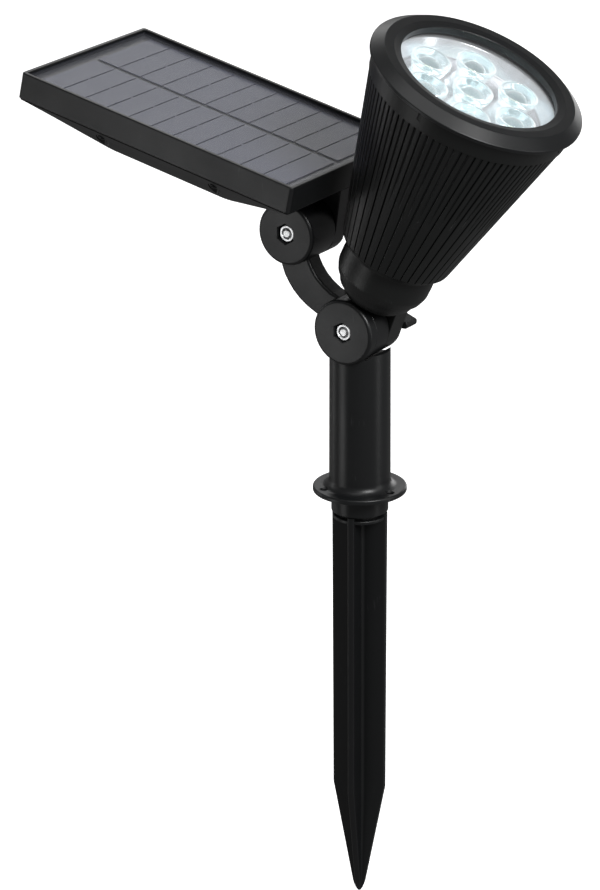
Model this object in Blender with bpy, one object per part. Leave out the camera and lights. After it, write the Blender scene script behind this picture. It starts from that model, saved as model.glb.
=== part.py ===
"""Solar garden light: a pole on a ground spike, a curved arm with a solar panel and a ribbed spotlight.

Units are metres and +Z is up the pole. The origin is the centre of the flange's underside, at soil level.
Sizes below are in millimetres and MM turns them into metres when a mesh is made. The pole stands on the Z
axis. Both tilt axes run along Y. The arm and its panel lean towards -X and the lamp towards +X.
"""

from math import cos, pi, radians, sin

import bmesh
import bpy
from mathutils import Matrix

MM = 0.001

# Clearances
GAP = 0.3  # between two pieces that touch
POCKET_GAP = 0.4  # around a nut in its pocket, per side

# Joints: heights and rest angles
LOWER_AXIS_Z = 75.6
ARM_RUN = -28.6  # from the lower axis to the upper one, along X
ARM_RISE = 39.2
LAMP_TILT = radians(26.2)
PANEL_TILT = radians(12.2)
STACK_FRONT = -14.6  # front face of both joints, along Y
LUG_R = 14.5
BOSS_R = 13.85
LAMP_LUG_R = 14.1
EAR_T = 5.0
ARM_T = 9.8
FACE_STEP = 0.2  # a bar's or tube's face stands this far behind the lug on it
LAMP_LUG_T = 11.2
BOSS_BACK = 3.6
PANEL_LUG_T = 9.2

# M4 hardware
STUD_R = 2.0
NUT_AF = 7.0
NUT_T = 2.2
NUT_SINK = 1.3
RING_IN = 6.8
RING_OUT = 10.2
RING_T = 1.0

# Pole
POLE_R_TOP = 13.2
POLE_R_LOW = 13.4
POLE_DROP = 10.6  # from the lower axis down to the tube's rim
CROWN_DROP = 5.5  # from the lower axis down to the tube's end inside the ear
POLE_BORE_R = 10.0
POLE_BORE_TOP = 50.0
SADDLE_GAP = 0.6
FLANGE_R = 20.5
FLANGE_T = 2.2
FLANGE_HOLES = 3
FLANGE_HOLE_R = 1.5
FLANGE_HOLE_PCR = 16.6
FLANGE_HOLE_START = radians(-6.0)
COLLAR_R = 12.45
COLLAR_H = 9.2

# Ground spike
SPIKE_TURN = radians(13.0)
PLUG_UP = 12.0
PLATE_R = 11.9
PLATE_TOP = -10.9
PLATE_T = 1.5
VANE_SPAN_TOP = 12.4
VANE_SPAN_LOW = 11.9
VANE_HALF_T = 1.5
SHOULDER_Z = -141.8
TAPER_END_Z = -189.5
TAPER_END_SPAN = 2.6
TIP_Z = -194.0

# Panel, in its own frame: origin on the upper axis, +X towards the lamp, +Z out of the cells
PANEL_L = 141.9
PANEL_W = 91.2
PANEL_END_X = 17.0
PANEL_TOP = 36.4
TRAY_H = 11.9
TRAY_WALL = 2.0
TRAY_CORNER_R = 1.6
LEDGE_TOP = 31.4
LEDGE_T = 1.6
LEDGE_IN = 5.0
SEAL_T = 0.6
SEAL_W = 3.0
BACKING_T = 1.0
CELL_T = 0.3
CELL_COUNT = 11
CELL_MARGIN_X = 7.0
CELL_MARGIN_Y = 4.6
CELL_SPLIT = 0.6
BUS_GAP = 2.7
BRIDGE_HALF = 1.0
PV_COVER_T = 0.8
COVER_DEPTH = 9.8
COVER_SIDE_INSET = 9.6
COVER_FAR_INSET = 41.0
COVER_NEAR_INSET = 32.5
COVER_WALL = 2.0
COVER_LIP = 0.5
SCREW_X = (-82.0, -23.0)
SCREW_Y = 40.4
SCREW_HEAD_R = 2.7
SCREW_HEAD_T = 1.8
SCREW_SHANK_R = 1.4
SCREW_SEAT_Z = 22.3
BOARD_X = (-76.0, -34.0)
BOARD_HALF_W = 15.0
BOARD_Z = 21.8
BOARD_T = 1.6
SWITCH_X = -55.0
SWITCH_T = 1.4
BUTTON_R = 4.6
BUTTON_STEP_R = 6.2
BUTTON_OUT = 1.0
BUTTON_TRAVEL = 0.8

# Lamp, in its own frame: origin on the lower axis, +Z along the beam
RIB_COUNT = 45
RIB_HALF = radians(2.9)
RIB_H = 0.9
RIB_START = 40.5
RIB_END = 118.5
CREST_START = 24.4
CREST_END = 43.8
BASE_Z = 15.2
HOUSING_WALL = 2.0
SPIGOT_R = 42.0
SPIGOT_TOP = 123.4
BAND_TOP = 126.4
BAND_R = 45.4
BAND_BORE_R = 43.6
GROOVE_FLOOR = 121.2
BEZEL_R = 47.4
BEZEL_TOP = 131.8
OPENING_R = 34.7
FLANGE_DISC_R = 41.7
REFLECTOR_T = 0.8
GASKET_T = 0.7
LENS_T = 1.8
REFLECTOR_FLOOR = 117.0
LENS_RING_R = 22.5
LENS_R = 8.8
LENS_FOOT_R = 3.2
LENS_FOOT_Z = 111.8
LENS_TOP_Z = 125.0
BOARD_R = 37.2
LED_BOARD_Z = 108.6
LED_BOARD_T = 1.6
LED_HALF = 2.5
LED_T = 1.0
CELL_R = 9.2
CELL_LEN = 65.0
CELL_BASE_Z = 38.0
HOLDER_WALL = 1.6
HOLDER_H = 24.0

# Knobs
KNOB_HUB_R = 7.6
KNOB_HUB_T = 9.0
WING_TIP_R = 15.4
WING_ROOT_HALF = 3.8
WING_TIP_HALF = 1.3
WING_RISE = 2.6
WING_ANGLE = radians(9.0)

MATERIALS = {
    "black_abs": ((0.018, 0.019, 0.020), 0.42, 0.0),
    "black_nylon": ((0.014, 0.015, 0.015), 0.5, 0.0),
    "rubber": ((0.02, 0.02, 0.02), 0.8, 0.0),
    "zinc_steel": ((0.72, 0.73, 0.75), 0.28, 1.0),
    "clear_plastic": ((0.92, 0.95, 0.96), 0.08, 0.0),
    "silver_reflector": ((0.86, 0.87, 0.88), 0.15, 1.0),
    "led_white": ((0.9, 0.88, 0.6), 0.4, 0.0),
    "board_white": ((0.8, 0.8, 0.78), 0.5, 0.0),
    "board_green": ((0.05, 0.22, 0.1), 0.5, 0.0),
    "solar_cell": ((0.05, 0.055, 0.085), 0.25, 0.2),
    "backing_black": ((0.02, 0.02, 0.024), 0.4, 0.0),
    "battery_wrap": ((0.07, 0.2, 0.5), 0.4, 0.0),
}

# Where one size follows from others
ARM_FRONT = STACK_FRONT + EAR_T + GAP
ARM_BACK = ARM_FRONT + ARM_T
LAMP_LUG_FRONT = ARM_BACK + GAP
LAMP_LUG_BACK = LAMP_LUG_FRONT + LAMP_LUG_T
PANEL_LUG_FRONT = BOSS_BACK + GAP
PANEL_LUG_BACK = PANEL_LUG_FRONT + PANEL_LUG_T
STUD_HOLE_R = STUD_R + GAP
TRAY_BOTTOM = PANEL_TOP - TRAY_H
COVER_TOP = TRAY_BOTTOM - GAP
COVER_FLOOR = COVER_TOP - COVER_DEPTH
LENS_PACK_TOP = SPIGOT_TOP + 3 * GAP + REFLECTOR_T + GASKET_T + LENS_T

LOWER = Matrix.Translation((0, 0, LOWER_AXIS_Z * MM))
UPPER = Matrix.Translation((ARM_RUN * MM, 0, (LOWER_AXIS_Z + ARM_RISE) * MM))
LAMP = LOWER @ Matrix.Rotation(LAMP_TILT, 4, "Y")
PANEL = UPPER @ Matrix.Rotation(PANEL_TILT, 4, "Y")
Y_AXIS = Matrix.Rotation(-pi / 2, 4, "X")  # turns a shape made along Z to lie along Y


def material(name):
    found = bpy.data.materials.get(name)
    if found:
        return found
    colour, roughness, metallic = MATERIALS[name]
    made = bpy.data.materials.new(name)
    made.use_nodes = True
    shader = made.node_tree.nodes["Principled BSDF"]
    shader.inputs["Base Color"].default_value = (*colour, 1.0)
    shader.inputs["Roughness"].default_value = roughness
    shader.inputs["Metallic"].default_value = metallic
    return made


def shape(bm, turn=Matrix.Identity(4)):
    """A loose object from a bmesh in millimetres, turned if asked."""
    bmesh.ops.recalc_face_normals(bm, faces=bm.faces)
    bm.transform(Matrix.Scale(MM, 4) @ turn)
    mesh = bpy.data.meshes.new("shape")
    bm.to_mesh(mesh)
    bm.free()
    made = bpy.data.objects.new("shape", mesh)
    bpy.context.scene.collection.objects.link(made)
    return made


def lathe(profile, segments, turn=Matrix.Identity(4), start=0.0):
    """Turns (radius, height) points, a closed outline, about Z. Points on the axis become one vertex."""
    bm = bmesh.new()
    rings = []
    for radius, height in profile:
        if radius < 1e-6:
            rings.append([bm.verts.new((0, 0, height))])
            continue
        angles = [start + 2 * pi * i / segments for i in range(segments)]
        rings.append([bm.verts.new((radius * cos(a), radius * sin(a), height)) for a in angles])
    for low, high in zip(rings, rings[1:] + rings[:1]):
        if len(low) == len(high) == 1:
            continue
        for i in range(segments):
            j = (i + 1) % segments
            corners = [low[i % len(low)], low[j % len(low)], high[j % len(high)], high[i % len(high)]]
            bm.faces.new(list(dict.fromkeys(corners)))
    return shape(bm, turn)


def prism(outline, low, high, turn=Matrix.Identity(4)):
    """Pulls an (x, y) outline along Z from low to high."""
    bm = bmesh.new()
    bottom = [bm.verts.new((x, y, low)) for x, y in outline]
    top = [bm.verts.new((x, y, high)) for x, y in outline]
    bm.faces.new(bottom)
    bm.faces.new(top)
    for i in range(len(outline)):
        j = (i + 1) % len(outline)
        bm.faces.new([bottom[i], bottom[j], top[j], top[i]])
    return shape(bm, turn)


def plate(outline, front, back):
    """Pulls an (x, z) outline along Y from front to back."""
    return prism([(x, -z) for x, z in outline], front, back, Y_AXIS)


def loft(sections):
    """Joins rings of (x, y, z) points, all of one length, and caps both ends."""
    bm = bmesh.new()
    rings = [[bm.verts.new(point) for point in section] for section in sections]
    bm.faces.new(rings[0])
    bm.faces.new(rings[-1])
    for low, high in zip(rings, rings[1:]):
        for i in range(len(low)):
            j = (i + 1) % len(low)
            bm.faces.new([low[i], low[j], high[j], high[i]])
    return shape(bm)


def disc(radius, low, high, segments, turn=Matrix.Identity(4), inner=0.0, start=0.0):
    if inner:
        return lathe([(inner, low), (radius, low), (radius, high), (inner, high)], segments, turn, start)
    return lathe([(0, low), (radius, low), (radius, high), (0, high)], segments, turn, start)


def moved(made, x=0.0, y=0.0, z=0.0):
    made.data.transform(Matrix.Translation((x * MM, y * MM, z * MM)))
    return made


def turned(made, angle, axis):
    made.data.transform(Matrix.Rotation(angle, 4, axis))
    return made


def combine(base, other, operation):
    """A Boolean, applied at once; the second shape is used up."""
    step = base.modifiers.new("step", "BOOLEAN")
    step.operation = operation
    step.object = other
    graph = bpy.context.evaluated_depsgraph_get()
    result = bpy.data.meshes.new_from_object(base.evaluated_get(graph))
    base.modifiers.clear()
    base.data = result
    bpy.data.objects.remove(other)
    return base


def joined(base, *others):
    for other in others:
        combine(base, other, "UNION")
    return base


def cut(base, *others):
    for other in others:
        combine(base, other, "DIFFERENCE")
    return base


def piece(made, name, slot, frame=Matrix.Identity(4), smooth=30.0):
    """Names a finished shape, gives it its material and puts it in its frame."""
    made.name = name
    made.data.name = name
    made.data.materials.clear()
    made.data.materials.append(material(slot))
    made.matrix_world = frame
    for face in made.data.polygons:
        face.use_smooth = True
    made.data.set_sharp_from_angle(angle=radians(smooth))
    return made


def hexagon(across_flats):
    corner = across_flats / 2 / cos(pi / 6)
    return [(corner * sin(pi / 3 * i), corner * cos(pi / 3 * i)) for i in range(6)]


def arc(centre, radius, first, last, count):
    steps = [radians(first + (last - first) * i / (count - 1)) for i in range(count)]
    return [(centre[0] + radius * cos(a), centre[1] + radius * sin(a)) for a in steps]


def rounded_box(x0, x1, half_w, corner):
    """An outline, symmetric about X's axis, with rounded corners."""
    centres = (
        (x1 - corner, half_w - corner, 0),
        (x0 + corner, half_w - corner, 90),
        (x0 + corner, corner - half_w, 180),
        (x1 - corner, corner - half_w, 270),
    )
    return [p for x, y, a in centres for p in arc((x, y), corner, a, a + 90, 4)]


def rectangle(x0, x1, half_w):
    return [(x0, -half_w), (x1, -half_w), (x1, half_w), (x0, half_w)]


def nut_pocket(x, z):
    depth = NUT_SINK + NUT_T + GAP
    outline = [(x + u, z + v) for u, v in hexagon(NUT_AF + 2 * POCKET_GAP)]
    return plate(outline, STACK_FRONT - 1, STACK_FRONT + depth)


def stud_hole(x, z):
    return moved(disc(STUD_HOLE_R, -40, 40, 20, Y_AXIS), x=x, z=z)


def ring_groove(front, x=0.0, z=0.0):
    inner, outer = RING_IN - GAP, RING_OUT + GAP
    groove = disc(outer, front - 0.5, front + RING_T + GAP, 24, Y_AXIS, inner)
    return moved(groove, x=x, z=z)


def friction_ring(name, front, frame):
    ring = disc(RING_OUT, front, front + RING_T, 24, Y_AXIS, RING_IN)
    piece(ring, name, "rubber", frame)


def build_pole():
    crown = LOWER_AXIS_Z - CROWN_DROP
    outer = [
        (0, -COLLAR_H),
        (COLLAR_R - 0.4, -COLLAR_H),
        (COLLAR_R, 0.4 - COLLAR_H),
        (COLLAR_R, 0),
        (FLANGE_R - 0.4, 0),
        (FLANGE_R, 0.5),
        (FLANGE_R, FLANGE_T - 0.6),
        (FLANGE_R - 0.6, FLANGE_T),
        (POLE_R_LOW + 2.2, FLANGE_T),
        (POLE_R_LOW + 0.9, FLANGE_T + 0.7),
        (POLE_R_LOW + 0.2, FLANGE_T + 2.2),
        (POLE_R_LOW, FLANGE_T + 4.0),
        (POLE_R_TOP, crown),
        (0, crown),
    ]
    pole = lathe(outer, 36)
    for i in range(FLANGE_HOLES):
        angle = FLANGE_HOLE_START + 2 * pi * i / FLANGE_HOLES
        hole = disc(FLANGE_HOLE_R, -1, FLANGE_T + 2, 12)
        cut(pole, moved(hole, x=FLANGE_HOLE_PCR * cos(angle), y=FLANGE_HOLE_PCR * sin(angle)))
    clear_y = STACK_FRONT + EAR_T
    relief, back = clear_y - FACE_STEP, 2 * POLE_R_LOW
    rim = LOWER_AXIS_Z - POLE_DROP
    cut(
        pole,
        plate([(-30, rim), (30, rim), (30, rim + 30), (-30, rim + 30)], relief, back),
        moved(disc(LUG_R + SADDLE_GAP, relief - 0.1, back, 36, Y_AXIS), z=LOWER_AXIS_Z),
        disc(POLE_BORE_R, -COLLAR_H - 1, POLE_BORE_TOP, 28),
    )
    ear = moved(
        lathe(
            [
                (0, STACK_FRONT),
                (LUG_R - 1.0, STACK_FRONT),
                (LUG_R - 0.3, STACK_FRONT + 0.3),
                (LUG_R, STACK_FRONT + 1.0),
                (LUG_R, clear_y),
                (0, clear_y),
            ],
            40,
            Y_AXIS,
        ),
        z=LOWER_AXIS_Z,
    )
    joined(pole, ear)
    cut(pole, nut_pocket(0, LOWER_AXIS_Z), moved(disc(STUD_HOLE_R, -20, 0, 20, Y_AXIS), z=LOWER_AXIS_Z))
    piece(pole, "pole", "black_abs")


def plus_section(z, span, half):
    """A plus-shaped ring of points with its arms along X and Y."""
    quarter = [(span, -half), (span, half), (half, half)]
    points = []
    for i in range(4):
        points += [(x * cos(i * pi / 2) - y * sin(i * pi / 2), x * sin(i * pi / 2) + y * cos(i * pi / 2))
                   for x, y in quarter]
    return [(x, y, z) for x, y in points]


def build_spike():
    sections = (
        (-COLLAR_H - GAP, VANE_SPAN_TOP, VANE_HALF_T),
        (SHOULDER_Z, VANE_SPAN_LOW, VANE_HALF_T),
        (TAPER_END_Z, TAPER_END_SPAN, VANE_HALF_T - 0.3),
        ((TAPER_END_Z + 2 * TIP_Z) / 3, TAPER_END_SPAN - 0.7, VANE_HALF_T - 0.6),
        (TIP_Z, 0.7, 0.4),
    )
    spike = turned(loft([plus_section(*section) for section in sections]), SPIKE_TURN, "Z")
    plug_r = POLE_BORE_R - GAP
    joined(
        spike,
        disc(PLATE_R, PLATE_TOP - PLATE_T, PLATE_TOP, 40),
        lathe(
            [(0, PLATE_TOP - 0.5), (plug_r, PLATE_TOP - 0.5), (plug_r, PLUG_UP - 1), (plug_r - 1, PLUG_UP),
             (0, PLUG_UP)],
            40,
        ),
    )
    piece(spike, "ground_spike", "black_abs")


def build_arm():
    """The arm in its own frame, origin on the lower axis."""
    rise, run = ARM_RISE, ARM_RUN
    outer = [(run - 7.0, rise - 11.0), (-34.4, 23.0), (-33.0, 19.2), (-30.9, 15.7), (-28.4, 12.4),
             (-25.3, 9.4), (-21.6, 6.7), (-16.6, 4.0), (-12.0, 1.0), (-6.0, -3.0)]
    inner = [(6.0, 10.0), (-3.0, 12.7), (-9.0, 15.0), (-13.0, 17.7), (-16.0, 20.5), (-18.4, 23.8),
             (-20.2, 27.2), (run + 8.0, rise - 9.0)]
    arm = plate(outer + inner, ARM_FRONT + FACE_STEP, ARM_BACK - FACE_STEP)
    lug = disc(LUG_R - 0.2, ARM_FRONT, ARM_BACK, 40, Y_AXIS)
    boss = lathe(
        [(0, STACK_FRONT), (BOSS_R - 1.0, STACK_FRONT), (BOSS_R - 0.3, STACK_FRONT + 0.3),
         (BOSS_R, STACK_FRONT + 1.0), (BOSS_R, BOSS_BACK), (0, BOSS_BACK)],
        40,
        Y_AXIS,
    )
    joined(arm, lug, moved(boss, x=run, z=rise))
    cut(arm, nut_pocket(run, rise), stud_hole(0, 0), stud_hole(run, rise), ring_groove(ARM_FRONT))
    piece(arm, "tilt_arm", "black_abs", LOWER)
    friction_ring("lower_ring_front", ARM_FRONT, LOWER)


def build_nut(name, frame):
    front = STACK_FRONT + NUT_SINK
    nut = plate(hexagon(NUT_AF), front, front + NUT_T)
    cut(nut, stud_hole(0, 0))
    piece(nut, name, "zinc_steel", frame)


def build_knob(side, frame, back):
    """A wing knob behind a joint, and the threaded stud moulded into it."""
    front = back + GAP
    hub = lathe(
        [(STUD_HOLE_R, front), (KNOB_HUB_R - 0.5, front), (KNOB_HUB_R, front + 0.5),
         (KNOB_HUB_R - 0.6, front + KNOB_HUB_T - 1.2), (KNOB_HUB_R - 2.0, front + KNOB_HUB_T),
         (0, front + KNOB_HUB_T), (0, front + KNOB_HUB_T - 2), (STUD_HOLE_R, front + KNOB_HUB_T - 2)],
        24,
        Y_AXIS,
    )
    wing = [(STUD_HOLE_R + 1, -WING_ROOT_HALF), (WING_TIP_R - 1, -WING_TIP_HALF), (WING_TIP_R, 0),
            (WING_TIP_R - 1, WING_TIP_HALF), (STUD_HOLE_R + 1, WING_ROOT_HALF)]
    top = front + KNOB_HUB_T - 1.5
    for turn in (0, pi):
        blade = plate(wing, front + 1.5, top + WING_RISE)
        slope = plate([(-1, -9), (9, -9), (9, 9), (-1, 9)], top - 0.2, top + WING_RISE + 2)
        joined(hub, turned(cut(blade, slope), WING_ANGLE + turn, "Y"))
    piece(hub, f"{side}_knob", "black_nylon", frame)
    stud_front = STACK_FRONT + NUT_SINK - 0.3
    stud_back = front + KNOB_HUB_T - 2 - GAP
    stud = lathe(
        [(0, stud_front), (STUD_R - 0.5, stud_front), (STUD_R, stud_front + 0.5), (STUD_R, stud_back),
         (0, stud_back)],
        20,
        Y_AXIS,
    )
    piece(stud, f"{side}_stud", "zinc_steel", frame)


def build_panel():
    x0, x1, half = PANEL_END_X - PANEL_L, PANEL_END_X, PANEL_W / 2
    ix0, ix1, ihalf = x0 + TRAY_WALL, x1 - TRAY_WALL, half - TRAY_WALL
    tray = prism(rounded_box(x0, x1, half, TRAY_CORNER_R), TRAY_BOTTOM, PANEL_TOP)
    cut(
        tray,
        prism(rectangle(ix0, ix1, ihalf), LEDGE_TOP, PANEL_TOP + 1),
        prism(rectangle(ix0, ix1, ihalf), TRAY_BOTTOM - 1, LEDGE_TOP - LEDGE_T),
        prism(rectangle(ix0 + LEDGE_IN, ix1 - LEDGE_IN, ihalf - LEDGE_IN), TRAY_BOTTOM, PANEL_TOP),
    )
    corners = [(x, y) for x in SCREW_X for y in (-SCREW_Y, SCREW_Y)]
    for x, y in corners:
        post = disc(SCREW_SHANK_R + GAP + 1.6, TRAY_BOTTOM, LEDGE_TOP - LEDGE_T / 2, 20)
        joined(tray, moved(post, x=x, y=y))
    for x, y in corners:
        cut(tray, moved(disc(SCREW_SHANK_R + GAP, TRAY_BOTTOM - 1, LEDGE_TOP - LEDGE_T, 16), x=x, y=y))
    piece(tray, "panel_tray", "black_abs", PANEL)

    fx0, fx1, fhalf = ix0 + GAP, ix1 - GAP, ihalf - GAP
    seal = prism(rectangle(fx0, fx1, fhalf), LEDGE_TOP + GAP, LEDGE_TOP + GAP + SEAL_T)
    cut(seal, prism(rectangle(fx0 + SEAL_W, fx1 - SEAL_W, fhalf - SEAL_W), LEDGE_TOP, LEDGE_TOP + 5))
    piece(seal, "panel_seal", "rubber", PANEL)
    backing_z = LEDGE_TOP + 2 * GAP + SEAL_T
    piece(prism(rectangle(fx0, fx1, fhalf), backing_z, backing_z + BACKING_T), "pv_backing", "backing_black",
          PANEL)
    cell_z = backing_z + BACKING_T + GAP
    for name, side in (("cell_string_near", -1), ("cell_string_far", 1)):
        piece(cell_string(x0, half, cell_z, side), name, "solar_cell", PANEL)
    glass_z = cell_z + CELL_T + GAP
    sheet = prism(rectangle(fx0, fx1, fhalf), glass_z, glass_z + PV_COVER_T)
    piece(sheet, "pv_cover", "clear_plastic", PANEL)


def cell_string(x0, half, low, side):
    """A row of cells joined by a bridge at mid width, as one strip with notches."""
    pitch = (PANEL_L - 2 * CELL_MARGIN_X) / CELL_COUNT
    inner, outer = BUS_GAP / 2, half - CELL_MARGIN_Y
    mid = (inner + outer) / 2
    far, near = [], []
    for i in range(CELL_COUNT):
        a = x0 + CELL_MARGIN_X + i * pitch + CELL_SPLIT / 2
        b = a + pitch - CELL_SPLIT
        far += [(a, outer), (b, outer)]
        near += [(a, inner), (b, inner)]
        if i < CELL_COUNT - 1:
            far += [(b, mid + BRIDGE_HALF), (b + CELL_SPLIT, mid + BRIDGE_HALF)]
            near += [(b, mid - BRIDGE_HALF), (b + CELL_SPLIT, mid - BRIDGE_HALF)]
    outline = [(x, side * y) for x, y in far + near[::-1]]
    return prism(outline, low, low + CELL_T)


def hipped(x0, x1, half, top, depth, far_inset, near_inset, side_inset):
    upper = [(x, y, top) for x, y in rectangle(x0, x1, half)]
    lower = [(x, y, top - depth)
             for x, y in rectangle(x0 + far_inset, x1 - near_inset, half - side_inset)]
    return loft([lower, upper])


def build_back_cover():
    x0, x1 = PANEL_END_X - PANEL_L + COVER_LIP, PANEL_END_X - COVER_LIP
    half = PANEL_W / 2 - COVER_LIP
    cover = hipped(x0, x1, half, COVER_TOP, COVER_DEPTH, COVER_FAR_INSET, COVER_NEAR_INSET, COVER_SIDE_INSET)
    wall = COVER_WALL
    hollow = hipped(x0 + 4 * wall, x1 - 3.2 * wall, half - 1.4 * wall, COVER_TOP + 0.01,
                    COVER_DEPTH - wall + 0.01, COVER_FAR_INSET - 3 * wall, COVER_NEAR_INSET - 2 * wall,
                    COVER_SIDE_INSET)
    corners = [(x, y) for x in SCREW_X for y in (-SCREW_Y, SCREW_Y)]
    for x, y in corners:
        cut(hollow, moved(disc(SCREW_HEAD_R + GAP + 1.4, COVER_FLOOR - 1, COVER_TOP + 1, 16), x=x, y=y))
    cut(cover, hollow)
    slope = COVER_DEPTH / COVER_NEAR_INSET
    root = COVER_FLOOR + 0.6 + slope * (12.0 - x1 + COVER_NEAR_INSET)
    lug = [*arc((0, 0), BOSS_R, 200, 340, 15), (BOSS_R - 0.2, 2.0), (12.0, root),
           (-14.5, root - 26.5 * slope),
           (0.2 - BOSS_R, 2.0)]
    joined(cover, plate(lug, PANEL_LUG_FRONT, PANEL_LUG_BACK))
    cut(cover, moved(disc(STUD_HOLE_R, 0, 20, 24, Y_AXIS)), ring_groove(PANEL_LUG_FRONT))
    for x, y in corners:
        cut(
            cover,
            moved(disc(SCREW_HEAD_R + GAP, 0, SCREW_SEAT_Z, 20), x=x, y=y),
            moved(disc(SCREW_SHANK_R + GAP, 0, COVER_TOP + 1, 12), x=x, y=y),
        )
    for x in (BOARD_X[0] + 4, BOARD_X[1] - 4):
        joined(cover, moved(disc(2.5, COVER_FLOOR + 0.5, BOARD_Z - GAP, 16), x=x))
    cut(cover, moved(disc(BUTTON_R + GAP, COVER_FLOOR - 5, COVER_FLOOR + 5, 28), x=SWITCH_X))
    piece(cover, "back_cover", "black_abs", PANEL)
    friction_ring("upper_ring", PANEL_LUG_FRONT, PANEL)
    head_top = SCREW_SEAT_Z - GAP
    head_low = head_top - SCREW_HEAD_T
    tip = LEDGE_TOP - LEDGE_T - GAP
    for number, (x, y) in enumerate(corners, 1):
        screw = lathe(
            [(0, head_low + 0.7), (0.9, head_low), (SCREW_HEAD_R - 0.5, head_low),
             (SCREW_HEAD_R, head_low + 0.5),
             (SCREW_HEAD_R, head_top), (SCREW_SHANK_R, head_top), (SCREW_SHANK_R, tip - 1), (0, tip)],
            20,
        )
        piece(moved(screw, x=x, y=y), f"cover_screw_{number}", "zinc_steel", PANEL)


def build_switch():
    board = prism(rectangle(*BOARD_X, BOARD_HALF_W), BOARD_Z, BOARD_Z + BOARD_T)
    joined(board, prism(rectangle(SWITCH_X - 3, SWITCH_X + 3, 3), BOARD_Z - SWITCH_T, BOARD_Z + 0.2))
    piece(board, "charge_board", "board_green", PANEL)
    step_z = COVER_FLOOR + COVER_WALL + GAP
    top = BOARD_Z - SWITCH_T - BUTTON_TRAVEL - GAP
    button = lathe(
        [(0, COVER_FLOOR - BUTTON_OUT), (BUTTON_R - 0.6, COVER_FLOOR - BUTTON_OUT),
         (BUTTON_R, COVER_FLOOR - BUTTON_OUT + 0.5), (BUTTON_R, step_z), (BUTTON_STEP_R, step_z),
         (BUTTON_STEP_R, step_z + 0.8), (BUTTON_R - 1, step_z + 0.8), (BUTTON_R - 1, top), (0, top)],
        28,
    )
    frame = PANEL @ Matrix.Translation((SWITCH_X * MM, 0, 0))
    piece(button, "switch_button", "rubber", frame)


def crest(z):
    """The radius over the ribs at a height along the lamp."""
    return CREST_START + (CREST_END - CREST_START) * (z - RIB_START) / (RIB_END - RIB_START)


def build_housing():
    core = RIB_H
    shell = RIB_H + HOUSING_WALL
    ledge = LED_BOARD_Z - GAP
    profile = [
        (0, BASE_Z), (12.6, BASE_Z), (14.4, BASE_Z + 0.8), (15.4, BASE_Z + 2.6), (16.0, BASE_Z + 3.2),
        (18.4, 21.6), (20.0, 24.8), (20.7, 29.0), (20.6, 37.2), (21.4, 39.0),
        (crest(RIB_START) - core, RIB_START),
        (crest(RIB_END) - core, RIB_END), (crest(RIB_END) + 0.3, RIB_END + 0.4), (BAND_R, BAND_TOP),
        (BAND_BORE_R, BAND_TOP), (BAND_BORE_R, GROOVE_FLOOR), (SPIGOT_R, GROOVE_FLOOR),
        (SPIGOT_R, SPIGOT_TOP), (SPIGOT_R - 2.4, SPIGOT_TOP), (SPIGOT_R - 2.4, RIB_END - 1.0),
        (crest(LED_BOARD_Z) - shell, ledge), (BOARD_R - 3.4, ledge),
        (BOARD_R - 3.4, ledge - 2.0), (crest(ledge - 4.5) - shell, ledge - 4.5),
        (crest(RIB_START) - shell, RIB_START + 1.0), (18.4, 36.5), (17.8, 26.0), (16.0, BASE_Z + 9),
        (0, BASE_Z + 9),
    ]
    housing = lathe(profile, RIB_COUNT, start=pi / RIB_COUNT)
    bm = bmesh.new()
    for i in range(RIB_COUNT):
        middle = 2 * pi * i / RIB_COUNT
        corners = []
        for z in (RIB_START, RIB_END + 0.2):
            for radius, side in ((crest(z) - core - 0.5, -1), (crest(z) - core - 0.5, 1), (crest(z), 1),
                                 (crest(z), -1)):
                angle = middle + side * RIB_HALF
                corners.append(bm.verts.new((radius * cos(angle), radius * sin(angle), z)))
        for face in ((0, 1, 2, 3), (4, 5, 6, 7), (0, 1, 5, 4), (1, 2, 6, 5), (2, 3, 7, 6), (3, 0, 4, 7)):
            bm.faces.new([corners[k] for k in face])
    joined(housing, shape(bm))
    lug = [*arc((0, 0), LAMP_LUG_R, 180, 360, 25), (LAMP_LUG_R - 0.6, 5.0), (12.4, BASE_Z + 1.0),
           (-12.4, BASE_Z + 1.0), (0.6 - LAMP_LUG_R, 5.0)]
    lug_plate = plate(lug, LAMP_LUG_FRONT, LAMP_LUG_BACK)
    joined(housing, lug_plate)
    cut(housing, disc(STUD_HOLE_R, 0, 20, 24, Y_AXIS), ring_groove(LAMP_LUG_FRONT))
    piece(housing, "lamp_housing", "black_abs", LAMP)
    friction_ring("lower_ring_rear", LAMP_LUG_FRONT, LAMP)


def build_bezel():
    shoulder = LENS_PACK_TOP + GAP
    inner = SPIGOT_R + GAP
    skirt_r, skirt_z = BAND_BORE_R - GAP, GROOVE_FLOOR + GAP
    edge = BAND_TOP + GAP
    profile = [
        (inner, skirt_z), (skirt_r, skirt_z), (skirt_r, edge), (BEZEL_R - 0.6, edge), (BEZEL_R, edge + 0.7),
        (BEZEL_R - 0.2, 128.3), (42.8, 131.5), (41.8, BEZEL_TOP), (38.2, BEZEL_TOP),
        (OPENING_R, 131.0), (OPENING_R + 0.2, shoulder), (inner, shoulder),
    ]
    piece(lathe(profile, 48), "bezel", "black_abs", LAMP)


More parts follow.
